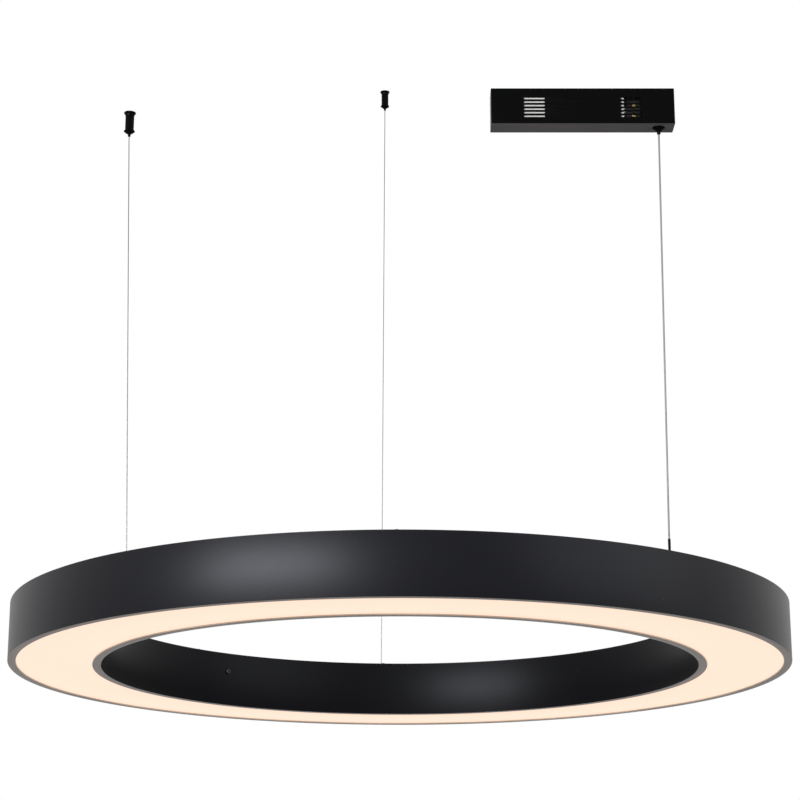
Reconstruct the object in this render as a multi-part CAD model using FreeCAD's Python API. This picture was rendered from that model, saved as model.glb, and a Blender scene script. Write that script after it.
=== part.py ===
import FreeCAD, Part
import math
import os

# Pendant light: a level ring of light, hung from two steel wires and one thicker cable
# that also carries its current. Each wire ends in a slim ceiling gripper with a sprung
# nozzle, and the cable's gripper sits in a long narrow canopy that holds the driver.
# Millimetres, +Z up, origin at the centre of the canopy bracket's ceiling face.
# The ring's underside is level, DROP below that face.

# Driving dimensions of the whole lamp
RING_RADIUS = 500.0
RING_HEIGHT = 73.0
RING_WIDTH = 117.0
DROP = 664.0
HIGH_CEILING_STEP = 346.5

# Where the three suspension points lie round the ring, in degrees, and how far each
# ceiling point stands off the point on the ring below it
LEFT_ANGLE = 223.6
MIDDLE_ANGLE = 93.6
POWER_ANGLE = 315.6
LEFT_LEAN_X = -20.1
LEFT_LEAN_Y = 36.5
MIDDLE_LEAN_X = 3.7
MIDDLE_LEAN_Y = -1.6
POWER_LEAN_X = 2.2
POWER_LEAN_Y = -19.1

# Hoops: channel-shaped rings of sheet with a wide lip below and a flange on top
SHEET = 1.5
OUTER_LIP = 10.5
INNER_LIP = 11.0
TOP_FLANGE = 15.0
EDGE_BREAK = 0.5

# Top plate and its screws
PLATE_SHEET = 1.5
PLATE_INSET = 3.5
SCREW_INSET = 9.0
SCREW_RADIUS = 1.5
SCREW_HEAD_RADIUS = 2.8
SCREW_HEAD_HEIGHT = 2.0
SCREW_LENGTH = 8.0
SOCKET_RADIUS = 1.15
SOCKET_DEPTH = 1.2
HOLE_CLEARANCE = 0.1

# Ribs that tie the hoops together and carry the light carrier
RIB_SHEET = 2.0
RIB_WIDTH = 30.0
RIB_STEP_MOST = 50.0
FOOT_LENGTH = 14.0
SEAT_GAP = 0.3

# Light carrier, boards, chips and the links between the boards
CARRIER_DROP = 35.0
CARRIER_SHEET = 1.5
CARRIER_GAP = 3.0
BOARD_INSET = 24.0
BOARD_WIDTH = 12.0
BOARD_SHEET = 1.6
BOARD_COUNT = 6
BOARD_SPLIT = 2.0
CHIP_COUNT = 8
CHIP_LENGTH = 3.5
CHIP_WIDTH = 2.8
CHIP_HEIGHT = 0.7
LINK_LENGTH = 24.0
LINK_WIDTH = 5.0
LINK_HEIGHT = 3.0

# Diffuser and the clips that press it onto the lips
DIFFUSER_SHEET = 3.0
DIFFUSER_GAP = 1.0
CLIP_SHEET = 1.0
CLIP_WIDTH = 10.0
CLIP_HEIGHT = 20.0
CLIP_REACH = 7.0

# Joint plates behind the seams of the two hoops, each with one screw from outside
SEAM_ANGLE = 129.8
SEAM_SPREAD = 4.0
SEAM_LOW = 10.0
SEAM_TOP_GAP = 7.0
SEAM_SHEET = 1.5
SEAM_SCREW_LEVEL = 47.6
SEAM_SCREW_RADIUS = 2.0
SEAM_HEAD_RADIUS = 3.7
SEAM_HEAD_HEIGHT = 2.4
SEAM_SCREW_LENGTH = 6.0

# Wires and the current-carrying cable
WIRE_RADIUS = 0.6
CABLE_RADIUS = 1.1
WIRE_PLAY = 0.3
CRIMP_PLAY = 0.05
ARC_SHARE = 0.45

# Sockets on the ring: a flanged bush, its nut, and the crimped ferrule inside it
SOCKET_CAP_RADIUS = 5.0
SOCKET_CAP_HEIGHT = 6.0
SOCKET_SHANK_RADIUS = 4.0
SOCKET_SHANK_LENGTH = 15.0
NUT_RADIUS = 7.0
NUT_HEIGHT = 4.0
FERRULE_RADIUS = 2.2
FERRULE_LENGTH = 6.0
FERRULE_PLAY = 0.1
FERRULE_RISE = 1.0
WIRE_RISE = 5.0

# Strain relief on the cable
SLEEVE_WALL = 0.45
SLEEVE_HEIGHT = 25.5
SLEEVE_COLLAR_RADIUS = 2.6
SLEEVE_COLLAR_HEIGHT = 1.6

# Feed inside the ring: lead from the cable's socket to a connector on the carrier
LEAD_RADIUS = 1.1
RING_LEAD_DROP = 16.0
LEAD_RUN = 20.0
CONNECTOR_LENGTH = 22.0
CONNECTOR_WIDTH = 12.0
CONNECTOR_COVER = 4.0

# Ceiling grippers
GRIPPER_FLANGE_RADIUS = 7.5
GRIPPER_FLANGE_HEIGHT = 1.5
GRIPPER_NECK_HEIGHT = 4.0
GRIPPER_BODY_RADIUS = 5.5
GRIPPER_BODY_HEIGHT = 19.0
GRIPPER_SKIRT_RADIUS = 6.95
GRIPPER_SKIRT_HEIGHT = 1.5
GRIPPER_CONE_HEIGHT = 2.8
GRIPPER_CONE_WALL = 1.0
SPIGOT_RADIUS = 4.2
SPIGOT_HEIGHT = 3.0
THREAD_PLAY = 0.05
ANCHOR_HOLE_RADIUS = 2.15
ANCHOR_SINK_RADIUS = 4.0
NOZZLE_WALL = 0.8
NOZZLE_HEIGHT = 3.5
NOZZLE_EDGE = 0.4
FIT_PLAY = 0.05
BALL_RADIUS = 0.9
BALL_PLAY = 0.1
BALL_COUNT = 3
CAGE_COVER = 0.35
CAGE_HEIGHT = 5.0
PISTON_HEIGHT = 3.0
SEAT_HEIGHT = 3.0
RELEASE_TRAVEL = 2.0
SPRING_WIRE = 0.25
SPRING_TURNS = 6
SPRING_PLAY = 0.3
WIRE_TOP_DEPTH = 9.0

# Canopy cover
CANOPY_LENGTH = 225.0
CANOPY_DEPTH = 29.0
CANOPY_HEIGHT = 46.5
CANOPY_SHEET = 1.0
CANOPY_CORNER = 1.2
EXIT_INSET = 18.9
EXIT_PLAY = 0.6
VENT_INSET = 53.0
VENT_RISE = 21.5
VENT_LENGTH = 26.0
VENT_SLOT = 2.4
VENT_PITCH = 4.7
VENT_COUNT = 6

# Ceiling bracket inside the canopy
BRACKET_SHEET = 1.5
BRACKET_SIDE_GAP = 1.5
BRACKET_GAP = 0.3
EAR_HEIGHT = 14.0
CEILING_HOLE_RADIUS = 2.5
CEILING_HOLE_INSET = 6.2
FLAT_HEAD_RADIUS = 3.0
FLAT_HEAD_HEIGHT = 1.2
FLAT_SCREW_LENGTH = 7.0

# Mains entry
ENTRY_INSET = 26.5
GROMMET_WALL = 1.3
GROMMET_RIM = 1.6
MAINS_RADIUS = 2.3
MAINS_DROP = 20.0

# Hanger that carries the cable's gripper inside the canopy
HANGER_SHEET = 1.5
HANGER_WIDTH = 14.0
HANGER_SIDE_GAP = 1.0
HANGER_TAB = 5.0
STUD_RADIUS = 4.0
STUD_HEIGHT = 5.0
STUD_NUT_HEIGHT = 2.5
STUD_NUT_RADIUS = 7.0
SKIRT_PROUD = 0.7
POWER_LEAD_COVER = 2.0

# Driver
DRIVER_INSET = 13.0
DRIVER_SIDE_GAP = 0.8
DRIVER_LID = 1.5
DRIVER_FLOOR_GAP = 7.5
DRIVER_WALL = 1.5
DRIVER_CORNER = 1.5
DRIVER_BOARD_GAP = 0.4
DRIVER_BOARD_SHEET = 1.6
DRIVER_BOARD_OFFSET = 6.0
DRIVER_SCREW_INSET = 13.0
TRANSFORMER_LENGTH = 24.0
TRANSFORMER_DEPTH = 12.0
TRANSFORMER_HEIGHT = 22.0
CAPACITOR_RADIUS = 4.5
CAPACITOR_PITCH = 14.0
CAPACITOR_LENGTH = 12.0
CAPACITOR_COUNT = 3
COMPONENT_INSET = 8.0

# Terminal block beside the driver
TERMINAL_INSET = 21.6
TERMINAL_GAP = 3.0
TERMINAL_WIDTH = 18.0
TERMINAL_SIDE_GAP = 5.0
TERMINAL_FLOOR_GAP = 6.5
TERMINAL_CORNER = 5.0
TERMINAL_POLES = 3
TERMINAL_SCREW_RADIUS = 2.4
TERMINAL_WELL_RADIUS = 3.1
TERMINAL_WELL_DEPTH = 3.0
TERMINAL_SCREW_HEIGHT = 2.0
TERMINAL_SLOT = 1.0
OUTPUT_LEAD_RISE = 8.0
OUTPUT_LEAD_RADIUS = 2.2

# One overrun serves all cuts
OVERRUN = 1.0

# Levels and radii that follow from the sizes above
RING_BOTTOM = -DROP
RING_TOP = RING_BOTTOM + RING_HEIGHT
HOLE_RADIUS = RING_RADIUS - RING_WIDTH
MOUNT_RADIUS = RING_RADIUS - RING_WIDTH / 2
PLATE_TOP = RING_TOP + PLATE_SHEET
CARRIER_TOP = RING_HEIGHT - CARRIER_DROP
CARRIER_LEVEL = RING_BOTTOM + CARRIER_TOP
SEAM_HIGH = RING_HEIGHT - SEAM_TOP_GAP
DIFFUSER_TOP = RING_BOTTOM + SHEET + DIFFUSER_SHEET
SOCKET_TOP = PLATE_TOP + SOCKET_CAP_HEIGHT
SOCKET_BOTTOM = PLATE_TOP - SOCKET_SHANK_LENGTH
GRIPPER_HEIGHT = (GRIPPER_FLANGE_HEIGHT + GRIPPER_NECK_HEIGHT + GRIPPER_BODY_HEIGHT
                  + GRIPPER_SKIRT_HEIGHT + GRIPPER_CONE_HEIGHT)
POWER_GRIPPER_TOP = (GRIPPER_HEIGHT - GRIPPER_CONE_HEIGHT - GRIPPER_SKIRT_HEIGHT
                     - SKIRT_PROUD - CANOPY_HEIGHT)
STUD_TOP = POWER_GRIPPER_TOP + HANGER_SHEET + STUD_HEIGHT
POWER_LEAD_RISE = (-BRACKET_SHEET - HANGER_SHEET - POWER_LEAD_COVER - 2 * CABLE_RADIUS
                   - STUD_TOP)
EXIT_X = CANOPY_LENGTH / 2 - EXIT_INSET
VENT_X = CANOPY_LENGTH / 2 - VENT_INSET
VENT_LEVEL = CANOPY_HEIGHT - VENT_RISE
ENTRY_X = ENTRY_INSET - CANOPY_LENGTH / 2
INSIDE_DEPTH = CANOPY_DEPTH - 2 * CANOPY_SHEET
BRACKET_DEPTH = INSIDE_DEPTH - 2 * BRACKET_SIDE_GAP
HANGER_DEPTH = BRACKET_DEPTH - 2 * HANGER_SIDE_GAP
DRIVER_DEPTH = INSIDE_DEPTH - 2 * DRIVER_SIDE_GAP
TERMINAL_DEPTH = INSIDE_DEPTH - 2 * TERMINAL_SIDE_GAP
DRIVER_BOTTOM = CANOPY_HEIGHT - CANOPY_SHEET - DRIVER_FLOOR_GAP
OUTPUT_LEAD_LEVEL = DRIVER_BOTTOM - OUTPUT_LEAD_RISE
TERMINAL_BOTTOM = CANOPY_HEIGHT - CANOPY_SHEET - TERMINAL_FLOOR_GAP
TERMINAL_X = EXIT_X - TERMINAL_INSET - TERMINAL_WIDTH / 2
DRIVER_LEFT = ENTRY_X + DRIVER_INSET
DRIVER_RIGHT = TERMINAL_X - TERMINAL_WIDTH / 2 - TERMINAL_GAP
BRACKET_HALF = CANOPY_LENGTH / 2 - CANOPY_SHEET - BRACKET_GAP
CEILING_HOLE_X = BRACKET_HALF - CEILING_HOLE_INSET
ENTRY_RADIUS = MAINS_RADIUS + WIRE_PLAY + GROMMET_WALL

FULL_TURN = 360.0
HEX_SIDES = 6
QUARTERS = 4
UP = FreeCAD.Vector(0, 0, 1)


def at(x, y, z):
    """A point."""
    return FreeCAD.Vector(x, y, z)


def round_ring(angle, radius):
    """The offset of a point on a circle, as x and y."""
    turn = math.radians(angle)
    return radius * math.cos(turn), radius * math.sin(turn)


def point_on_ring(angle):
    """The x and y of a suspension point on the ring."""
    dx, dy = round_ring(angle, MOUNT_RADIUS)
    return RING_X + dx, RING_Y + dy


POWER_DX, POWER_DY = round_ring(POWER_ANGLE, MOUNT_RADIUS)
RING_X = EXIT_X - POWER_LEAN_X - POWER_DX
RING_Y = -POWER_LEAN_Y - POWER_DY
RING_CENTRE = at(RING_X, RING_Y, 0)


def rod(x, y, radius, low, high):
    """An upright cylinder."""
    return Part.makeCylinder(radius, high - low, at(x, y, low), UP)


def block(low, high):
    """A box between two corners."""
    return Part.makeBox(high.x - low.x, high.y - low.y, high.z - low.z, low)


def turned(x, y, outline):
    """A solid of revolution about an upright axis; the outline is in radius and level."""
    points = [at(x + radius, y, level) for radius, level in outline]
    wire = Part.makePolygon(points + points[:1])
    return Part.Face(wire).revolve(at(x, y, 0), UP, FULL_TURN)


def turned_ring(outline):
    """A solid of revolution about the ring's axis, with levels above its underside."""
    return turned(RING_X, RING_Y, [(radius, RING_BOTTOM + level) for radius, level in outline])


def annulus(inner, outer, low, high):
    """A flat ring about the ring's axis."""
    return rod(RING_X, RING_Y, outer, low, high).cut(rod(RING_X, RING_Y, inner, low, high))


def sector(inner, outer, low, high, start, spread):
    """A piece of a flat ring about the ring's axis, from an angle over a spread."""
    wedges = [Part.makeCylinder(radius, high - low, at(0, 0, low), UP, spread)
              for radius in (outer, inner)]
    piece = wedges[0].cut(wedges[1])
    piece.rotate(at(0, 0, 0), UP, start)
    piece.translate(RING_CENTRE)
    return piece


def placed_round(shape, angle):
    """A shape made at angle zero beside the origin, turned to its place on the ring."""
    piece = shape.copy()
    piece.rotate(at(0, 0, 0), UP, angle)
    piece.translate(RING_CENTRE)
    return piece


def hexagon(x, y, radius, low, high):
    """An upright six-sided prism; the radius is to its corners."""
    steps = [round_ring(FULL_TURN * k / HEX_SIDES, radius) for k in range(HEX_SIDES)]
    corners = [at(x + dx, y + dy, low) for dx, dy in steps]
    return Part.Face(Part.makePolygon(corners + corners[:1])).extrude(UP * (high - low))


def pan_screw(radius, head_radius, head_height, length):
    """A screw with its head's seat at the origin, its shank down and its head up."""
    edge = head_height / 2
    head = [(0, head_height), (head_radius - edge, head_height), (head_radius, edge),
            (head_radius, 0), (radius, 0), (radius, -length), (0, -length)]
    screw = turned(0, 0, head)
    socket_radius = min(SOCKET_RADIUS, radius)
    return screw.cut(hexagon(0, 0, socket_radius, head_height - SOCKET_DEPTH,
                             head_height + OVERRUN))


def flat_screw(x, y, level):
    """A countersunk screw with its head flush with a level, its shank down."""
    return turned(x, y, [(0, level), (FLAT_HEAD_RADIUS, level),
                         (SCREW_RADIUS, level - FLAT_HEAD_HEIGHT),
                         (SCREW_RADIUS, level - FLAT_SCREW_LENGTH),
                         (0, level - FLAT_SCREW_LENGTH)])


def flat_hole(x, y, level, depth):
    """The room for a countersunk screw, through a sheet of a given depth."""
    return turned(x, y, [(0, level + OVERRUN), (FLAT_HEAD_RADIUS + HOLE_CLEARANCE, level + OVERRUN),
                         (FLAT_HEAD_RADIUS + HOLE_CLEARANCE, level),
                         (SCREW_RADIUS + HOLE_CLEARANCE, level - FLAT_HEAD_HEIGHT),
                         (SCREW_RADIUS + HOLE_CLEARANCE, level - depth - OVERRUN),
                         (0, level - depth - OVERRUN)])


def group(pieces):
    """Several separate solids as one shape."""
    return Part.makeCompound(pieces)


def without(shape, cutters):
    """A shape with each cutter taken out of it."""
    return shape.cut(group(cutters)) if cutters else shape


def cord(points, radius, name, longest_reach=None):
    """A round cord along straight runs joined by tangent arcs, printed with its radii."""
    edges, start, radii = [], points[0], []
    for before, corner, after in zip(points, points[1:], points[2:]):
        back, ahead = before - corner, after - corner
        half = (math.pi - back.getAngle(ahead)) / 2
        reach = ARC_SHARE * min(back.Length, ahead.Length)
        if longest_reach:
            reach = min(reach, longest_reach)
        radii.append(reach / math.tan(half))
        first = corner + back.normalize() * reach
        last = corner + ahead.normalize() * reach
        inward = (first + last) / 2 - corner
        middle = corner + inward.normalize() * (radii[-1] / math.cos(half) - radii[-1])
        edges.append(Part.LineSegment(start, first).toShape())
        edges.append(Part.Arc(first, middle, last).toShape())
        start = last
    edges.append(Part.LineSegment(start, points[-1]).toShape())
    path = Part.Wire(edges)
    section = Part.Wire(Part.makeCircle(radius, points[0], points[1] - points[0]))
    tube = path.makePipeShell([section], True, True)
    ratio = tube.Volume / (math.pi * radius ** 2 * path.Length)
    print(name, "length", round(path.Length, 1), "radii", [round(r, 1) for r in radii],
          "volume over section times length", round(ratio, 4))
    return tube


def arc_along(start, direction, end):
    """The arc that leaves a point in a direction and ends at another point."""
    chord = end - start
    half = chord.Length / 2
    along = chord * (1 / chord.Length)
    turn = along.getAngle(direction)
    outward = (direction - along * direction.dot(along)).normalize()
    middle = (start + end) / 2 + outward * (half * math.tan(turn / 2))
    return Part.Arc(start, middle, end).toShape()


def helix_place(radius, rise, turn):
    """A point of a helix and its direction there; the rise is that of one radian."""
    place = at(radius * math.cos(turn), radius * math.sin(turn), rise * turn)
    direction = at(-radius * math.sin(turn), radius * math.cos(turn), rise)
    return place, direction.normalize()


def coil(radius, wire_radius, height, turns):
    """A coil of round wire about the origin's upright axis, two arcs to each quarter turn."""
    rise = height / (2 * math.pi * turns)
    steps = QUARTERS * turns
    places = [helix_place(radius, rise, math.pi / 2 * k) for k in range(steps + 1)]
    edges = []
    for (start, leave), (end, arrive) in zip(places, places[1:]):
        across, both = end - start, leave + arrive
        bend = 2 * (1 - leave.dot(arrive))
        reach = (math.sqrt(across.dot(both) ** 2 + bend * across.dot(across))
                 - across.dot(both)) / bend
        middle = (start + end + (leave - arrive) * reach) / 2
        edges.append(arc_along(start, leave, middle))
        edges.append(arc_along(end, arrive * -1, middle))
    print("coil least gap to itself", round(height / turns - 2 * wire_radius, 2))
    section = Part.Wire(Part.makeCircle(wire_radius, places[0][0], places[0][1]))
    return Part.Wire(Part.sortEdges(edges)[0]).makePipeShell([section], True, True)


def outer_hoop():
    """The outer wall with its lip below and its flange on top."""
    wall, edge = RING_RADIUS - SHEET, EDGE_BREAK
    hoop = turned_ring([
        (RING_RADIUS - OUTER_LIP, 0), (RING_RADIUS - edge, 0), (RING_RADIUS, edge),
        (RING_RADIUS, RING_HEIGHT - edge), (RING_RADIUS - edge, RING_HEIGHT),
        (RING_RADIUS - TOP_FLANGE, RING_HEIGHT), (RING_RADIUS - TOP_FLANGE, RING_HEIGHT - SHEET),
        (wall, RING_HEIGHT - SHEET), (wall, SHEET), (RING_RADIUS - OUTER_LIP, SHEET)])
    holes = [screw_hole(angle, RING_RADIUS - SCREW_INSET) for angle in rib_angles()]
    return without(hoop, holes + [seam_hole(RING_RADIUS)])


def inner_hoop():
    """The inner wall with its lip below and its flange on top."""
    wall, edge = HOLE_RADIUS + SHEET, EDGE_BREAK
    hoop = turned_ring([
        (HOLE_RADIUS + edge, 0), (HOLE_RADIUS + INNER_LIP, 0), (HOLE_RADIUS + INNER_LIP, SHEET),
        (wall, SHEET), (wall, RING_HEIGHT - SHEET),
        (HOLE_RADIUS + TOP_FLANGE, RING_HEIGHT - SHEET), (HOLE_RADIUS + TOP_FLANGE, RING_HEIGHT),
        (HOLE_RADIUS + edge, RING_HEIGHT), (HOLE_RADIUS, RING_HEIGHT - edge),
        (HOLE_RADIUS, edge)])
    holes = [screw_hole(angle, HOLE_RADIUS + SCREW_INSET) for angle in rib_angles()]
    return without(hoop, holes + [seam_hole(HOLE_RADIUS)])


def hanger_angles():
    """The angles of the ribs that the three suspension points stand on."""
    return [MIDDLE_ANGLE, LEFT_ANGLE, POWER_ANGLE]


def cross_angles():
    """The angles of the other ribs, spread evenly between the hanging ones."""
    angles = []
    hung = hanger_angles()
    for start, end in zip(hung, hung[1:] + [hung[0] + FULL_TURN]):
        steps = math.ceil((end - start) / RIB_STEP_MOST)
        angles += [start + (end - start) * k / steps for k in range(1, steps)]
    return angles


def rib_angles():
    """The angles of all ribs."""
    return hanger_angles() + cross_angles()


def screw_hole(angle, radius):
    """Room for a screw through the top plate, a flange and a rib."""
    dx, dy = round_ring(angle, radius)
    return rod(RING_X + dx, RING_Y + dy, SCREW_RADIUS + HOLE_CLEARANCE,
               RING_TOP - SHEET - RIB_SHEET - OVERRUN, PLATE_TOP + OVERRUN)


def top_plate():
    """The flat ring that closes the top, with holes for its screws and the sockets."""
    plate = annulus(HOLE_RADIUS + PLATE_INSET, RING_RADIUS - PLATE_INSET, RING_TOP, PLATE_TOP)
    holes = [screw_hole(angle, radius) for angle in rib_angles()
             for radius in (HOLE_RADIUS + SCREW_INSET, RING_RADIUS - SCREW_INSET)]
    sockets = [rod(*point_on_ring(angle), SOCKET_SHANK_RADIUS + HOLE_CLEARANCE,
                   RING_TOP - OVERRUN, PLATE_TOP + OVERRUN) for angle in hanger_angles()]
    return without(plate, holes + sockets)


def top_plate_screws():
    """Two screws on each rib."""
    screw = pan_screw(SCREW_RADIUS, SCREW_HEAD_RADIUS, SCREW_HEAD_HEIGHT, SCREW_LENGTH)
    screws = []
    for angle in rib_angles():
        for radius in (HOLE_RADIUS + SCREW_INSET, RING_RADIUS - SCREW_INSET):
            piece = screw.copy()
            piece.translate(at(radius, 0, PLATE_TOP))
            screws.append(placed_round(piece, angle))
    return group(screws)


def rib(with_socket):
    """A bent bracket from hoop to hoop at angle zero: web, two legs and two feet."""
    inner, outer = HOLE_RADIUS + SHEET + SEAT_GAP, RING_RADIUS - SHEET - SEAT_GAP
    half, top = RIB_WIDTH / 2, RING_TOP - SHEET
    web = block(at(inner, -half, top - RIB_SHEET), at(outer, half, top))
    inner_leg = block(at(inner, -half, CARRIER_LEVEL), at(inner + RIB_SHEET, half, top))
    outer_leg = block(at(outer - RIB_SHEET, -half, CARRIER_LEVEL), at(outer, half, top))
    foot_top = CARRIER_LEVEL + RIB_SHEET
    inner_foot = block(at(inner, -half, CARRIER_LEVEL), at(inner + FOOT_LENGTH, half, foot_top))
    outer_foot = block(at(outer - FOOT_LENGTH, -half, CARRIER_LEVEL), at(outer, half, foot_top))
    shape = web.fuse([inner_leg, outer_leg, inner_foot, outer_foot]).removeSplitter()
    hole = SCREW_RADIUS + HOLE_CLEARANCE
    holes = [rod(radius, 0, hole, CARRIER_LEVEL - OVERRUN, top + OVERRUN)
             for radius in (HOLE_RADIUS + SCREW_INSET, RING_RADIUS - SCREW_INSET)]
    if with_socket:
        holes.append(rod(MOUNT_RADIUS, 0, SOCKET_SHANK_RADIUS + HOLE_CLEARANCE,
                         top - RIB_SHEET - OVERRUN, top + OVERRUN))
    return without(shape, holes)


def hanger_ribs():
    """The three ribs that the lamp hangs from."""
    return group([placed_round(rib(True), angle) for angle in hanger_angles()])


def cross_ribs():
    """The ribs between them."""
    return group([placed_round(rib(False), angle) for angle in cross_angles()])


def light_carrier():
    """The flat ring that the boards are fixed to."""
    inner = HOLE_RADIUS + SHEET + CARRIER_GAP
    outer = RING_RADIUS - SHEET - CARRIER_GAP
    low = CARRIER_LEVEL - CARRIER_SHEET
    plate = annulus(inner, outer, low, CARRIER_LEVEL)
    holes = []
    for angle in rib_angles():
        for radius in (HOLE_RADIUS + SCREW_INSET, RING_RADIUS - SCREW_INSET):
            dx, dy = round_ring(angle, radius)
            holes.append(rod(RING_X + dx, RING_Y + dy, SCREW_RADIUS + HOLE_CLEARANCE,
                             low - OVERRUN, CARRIER_LEVEL + OVERRUN))
    return without(plate, holes)


def carrier_screws():
    """Screws from below through the carrier into the ribs' feet."""
    screw = pan_screw(SCREW_RADIUS, SCREW_HEAD_RADIUS, SCREW_HEAD_HEIGHT,
                      CARRIER_SHEET + RIB_SHEET)
    screw.rotate(at(0, 0, 0), at(1, 0, 0), FULL_TURN / 2)
    screws = []
    for angle in rib_angles():
        for radius in (HOLE_RADIUS + SCREW_INSET, RING_RADIUS - SCREW_INSET):
            piece = screw.copy()
            piece.translate(at(radius, 0, CARRIER_LEVEL - CARRIER_SHEET))
            screws.append(placed_round(piece, angle))
    return group(screws)


def board_rows():
    """The inner radius of each row of boards."""
    return [HOLE_RADIUS + BOARD_INSET, RING_RADIUS - BOARD_INSET - BOARD_WIDTH]


def light_boards():
    """Two rows of curved boards under the carrier."""
    step = FULL_TURN / BOARD_COUNT
    top = CARRIER_LEVEL - CARRIER_SHEET
    return group([sector(row, row + BOARD_WIDTH, top - BOARD_SHEET, top,
                         k * step + BOARD_SPLIT / 2, step - BOARD_SPLIT)
                  for row in board_rows() for k in range(BOARD_COUNT)])


def light_chips():
    """The light-emitting chips, evenly along each board."""
    top = CARRIER_LEVEL - CARRIER_SHEET - BOARD_SHEET
    step = FULL_TURN / BOARD_COUNT
    chips = []
    for row in board_rows():
        middle = row + BOARD_WIDTH / 2
        chip = block(at(middle - CHIP_WIDTH / 2, -CHIP_LENGTH / 2, top - CHIP_HEIGHT),
                     at(middle + CHIP_WIDTH / 2, CHIP_LENGTH / 2, top))
        for k in range(BOARD_COUNT):
            for n in range(CHIP_COUNT):
                chips.append(placed_round(chip, (k + (n + 1) / (CHIP_COUNT + 1)) * step))
    return group(chips)


def board_links():
    """Small plugs that bridge the splits between neighbouring boards."""
    top = CARRIER_LEVEL - CARRIER_SHEET - BOARD_SHEET
    step = FULL_TURN / BOARD_COUNT
    links = []
    for row in board_rows():
        middle = row + BOARD_WIDTH / 2
        link = block(at(middle - LINK_WIDTH / 2, -LINK_LENGTH / 2, top - LINK_HEIGHT),
                     at(middle + LINK_WIDTH / 2, LINK_LENGTH / 2, top))
        links += [placed_round(link, k * step) for k in range(BOARD_COUNT)]
    return group(links)


def diffuser():
    """The opal sheet ring that lies on both lips."""
    return annulus(HOLE_RADIUS + SHEET + DIFFUSER_GAP, RING_RADIUS - SHEET - DIFFUSER_GAP,
                   RING_BOTTOM + SHEET, DIFFUSER_TOP)


def diffuser_clips():
    """Bent clips on both walls that hold the diffuser down on the lips."""
    half = CLIP_WIDTH / 2
    inner, outer = HOLE_RADIUS + SHEET + SEAT_GAP, RING_RADIUS - SHEET - SEAT_GAP
    low, high = DIFFUSER_TOP, DIFFUSER_TOP + CLIP_HEIGHT
    inner_clip = block(at(inner, -half, low), at(inner + CLIP_SHEET, half, high)).fuse(
        block(at(inner, -half, low), at(inner + CLIP_REACH, half, low + CLIP_SHEET)))
    outer_clip = block(at(outer - CLIP_SHEET, -half, low), at(outer, half, high)).fuse(
        block(at(outer - CLIP_REACH, -half, low), at(outer, half, low + CLIP_SHEET)))
    angles = sorted(angle % FULL_TURN for angle in rib_angles())
    clips = []
    for start, end in zip(angles, angles[1:] + [angles[0] + FULL_TURN]):
        middle = (start + end) / 2
        clips += [placed_round(clip.removeSplitter(), middle) for clip in (inner_clip, outer_clip)]
    return group(clips)


def seam_rod(radius, inner, outer):
    """A radial cylinder at the seam, from one distance to another."""
    piece = Part.makeCylinder(radius, outer - inner, at(inner, 0, RING_BOTTOM + SEAM_SCREW_LEVEL),
                              at(1, 0, 0))
    return placed_round(piece, SEAM_ANGLE)


def seam_hole(wall_radius):
    """Room for the seam's screw through a hoop's wall and its joint plate."""
    reach = SHEET + SEAT_GAP + SEAM_SHEET + OVERRUN
    return seam_rod(SEAM_SCREW_RADIUS + HOLE_CLEARANCE, wall_radius - reach, wall_radius + reach)


def seam_plates():
    """The two curved plates behind the hoops' seams."""
    low, high = RING_BOTTOM + SEAM_LOW, RING_BOTTOM + SEAM_HIGH
    start, spread = SEAM_ANGLE - SEAM_SPREAD, 2 * SEAM_SPREAD
    outer = RING_RADIUS - SHEET - SEAT_GAP
    inner = HOLE_RADIUS + SHEET + SEAT_GAP
    outer_plate = sector(outer - SEAM_SHEET, outer, low, high, start, spread)
    inner_plate = sector(inner, inner + SEAM_SHEET, low, high, start, spread)
    return group([outer_plate.cut(seam_hole(RING_RADIUS)), inner_plate.cut(seam_hole(HOLE_RADIUS))])


def seam_screws():
    """One screw through each hoop's wall into its joint plate, its head outside."""
    screw = pan_screw(SEAM_SCREW_RADIUS, SEAM_HEAD_RADIUS, SEAM_HEAD_HEIGHT, SEAM_SCREW_LENGTH)
    quarter = FULL_TURN / 4
    outer = screw.copy()
    outer.rotate(at(0, 0, 0), at(0, 1, 0), quarter)
    outer.translate(at(RING_RADIUS, 0, RING_BOTTOM + SEAM_SCREW_LEVEL))
    inner = screw.copy()
    inner.rotate(at(0, 0, 0), at(0, 1, 0), -quarter)
    inner.translate(at(HOLE_RADIUS - FIT_PLAY, 0, RING_BOTTOM + SEAM_SCREW_LEVEL))
    return group([placed_round(outer, SEAM_ANGLE), placed_round(inner, SEAM_ANGLE)])


def socket(angle, cord_radius):
    """A flanged bush through the top plate and a rib, bored for its wire and ferrule."""
    x, y = point_on_ring(angle)
    edge = EDGE_BREAK
    outline = [(0, SOCKET_TOP), (SOCKET_CAP_RADIUS - edge, SOCKET_TOP),
               (SOCKET_CAP_RADIUS, SOCKET_TOP - edge), (SOCKET_CAP_RADIUS, PLATE_TOP),
               (SOCKET_SHANK_RADIUS, PLATE_TOP), (SOCKET_SHANK_RADIUS, SOCKET_BOTTOM),
               (0, SOCKET_BOTTOM)]
    bore = rod(x, y, cord_radius + WIRE_PLAY, SOCKET_BOTTOM - OVERRUN, SOCKET_TOP + OVERRUN)
    pocket = rod(x, y, FERRULE_RADIUS + FERRULE_PLAY, SOCKET_BOTTOM - OVERRUN,
                 SOCKET_BOTTOM + FERRULE_RISE + FERRULE_LENGTH)
    return turned(x, y, outline).cut(bore).cut(pocket)


def wire_sockets():
    """The sockets of the two plain wires."""
    return group([socket(MIDDLE_ANGLE, WIRE_RADIUS), socket(LEFT_ANGLE, WIRE_RADIUS)])


def cable_socket():
    """The cable's socket."""
    return socket(POWER_ANGLE, CABLE_RADIUS)


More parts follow.
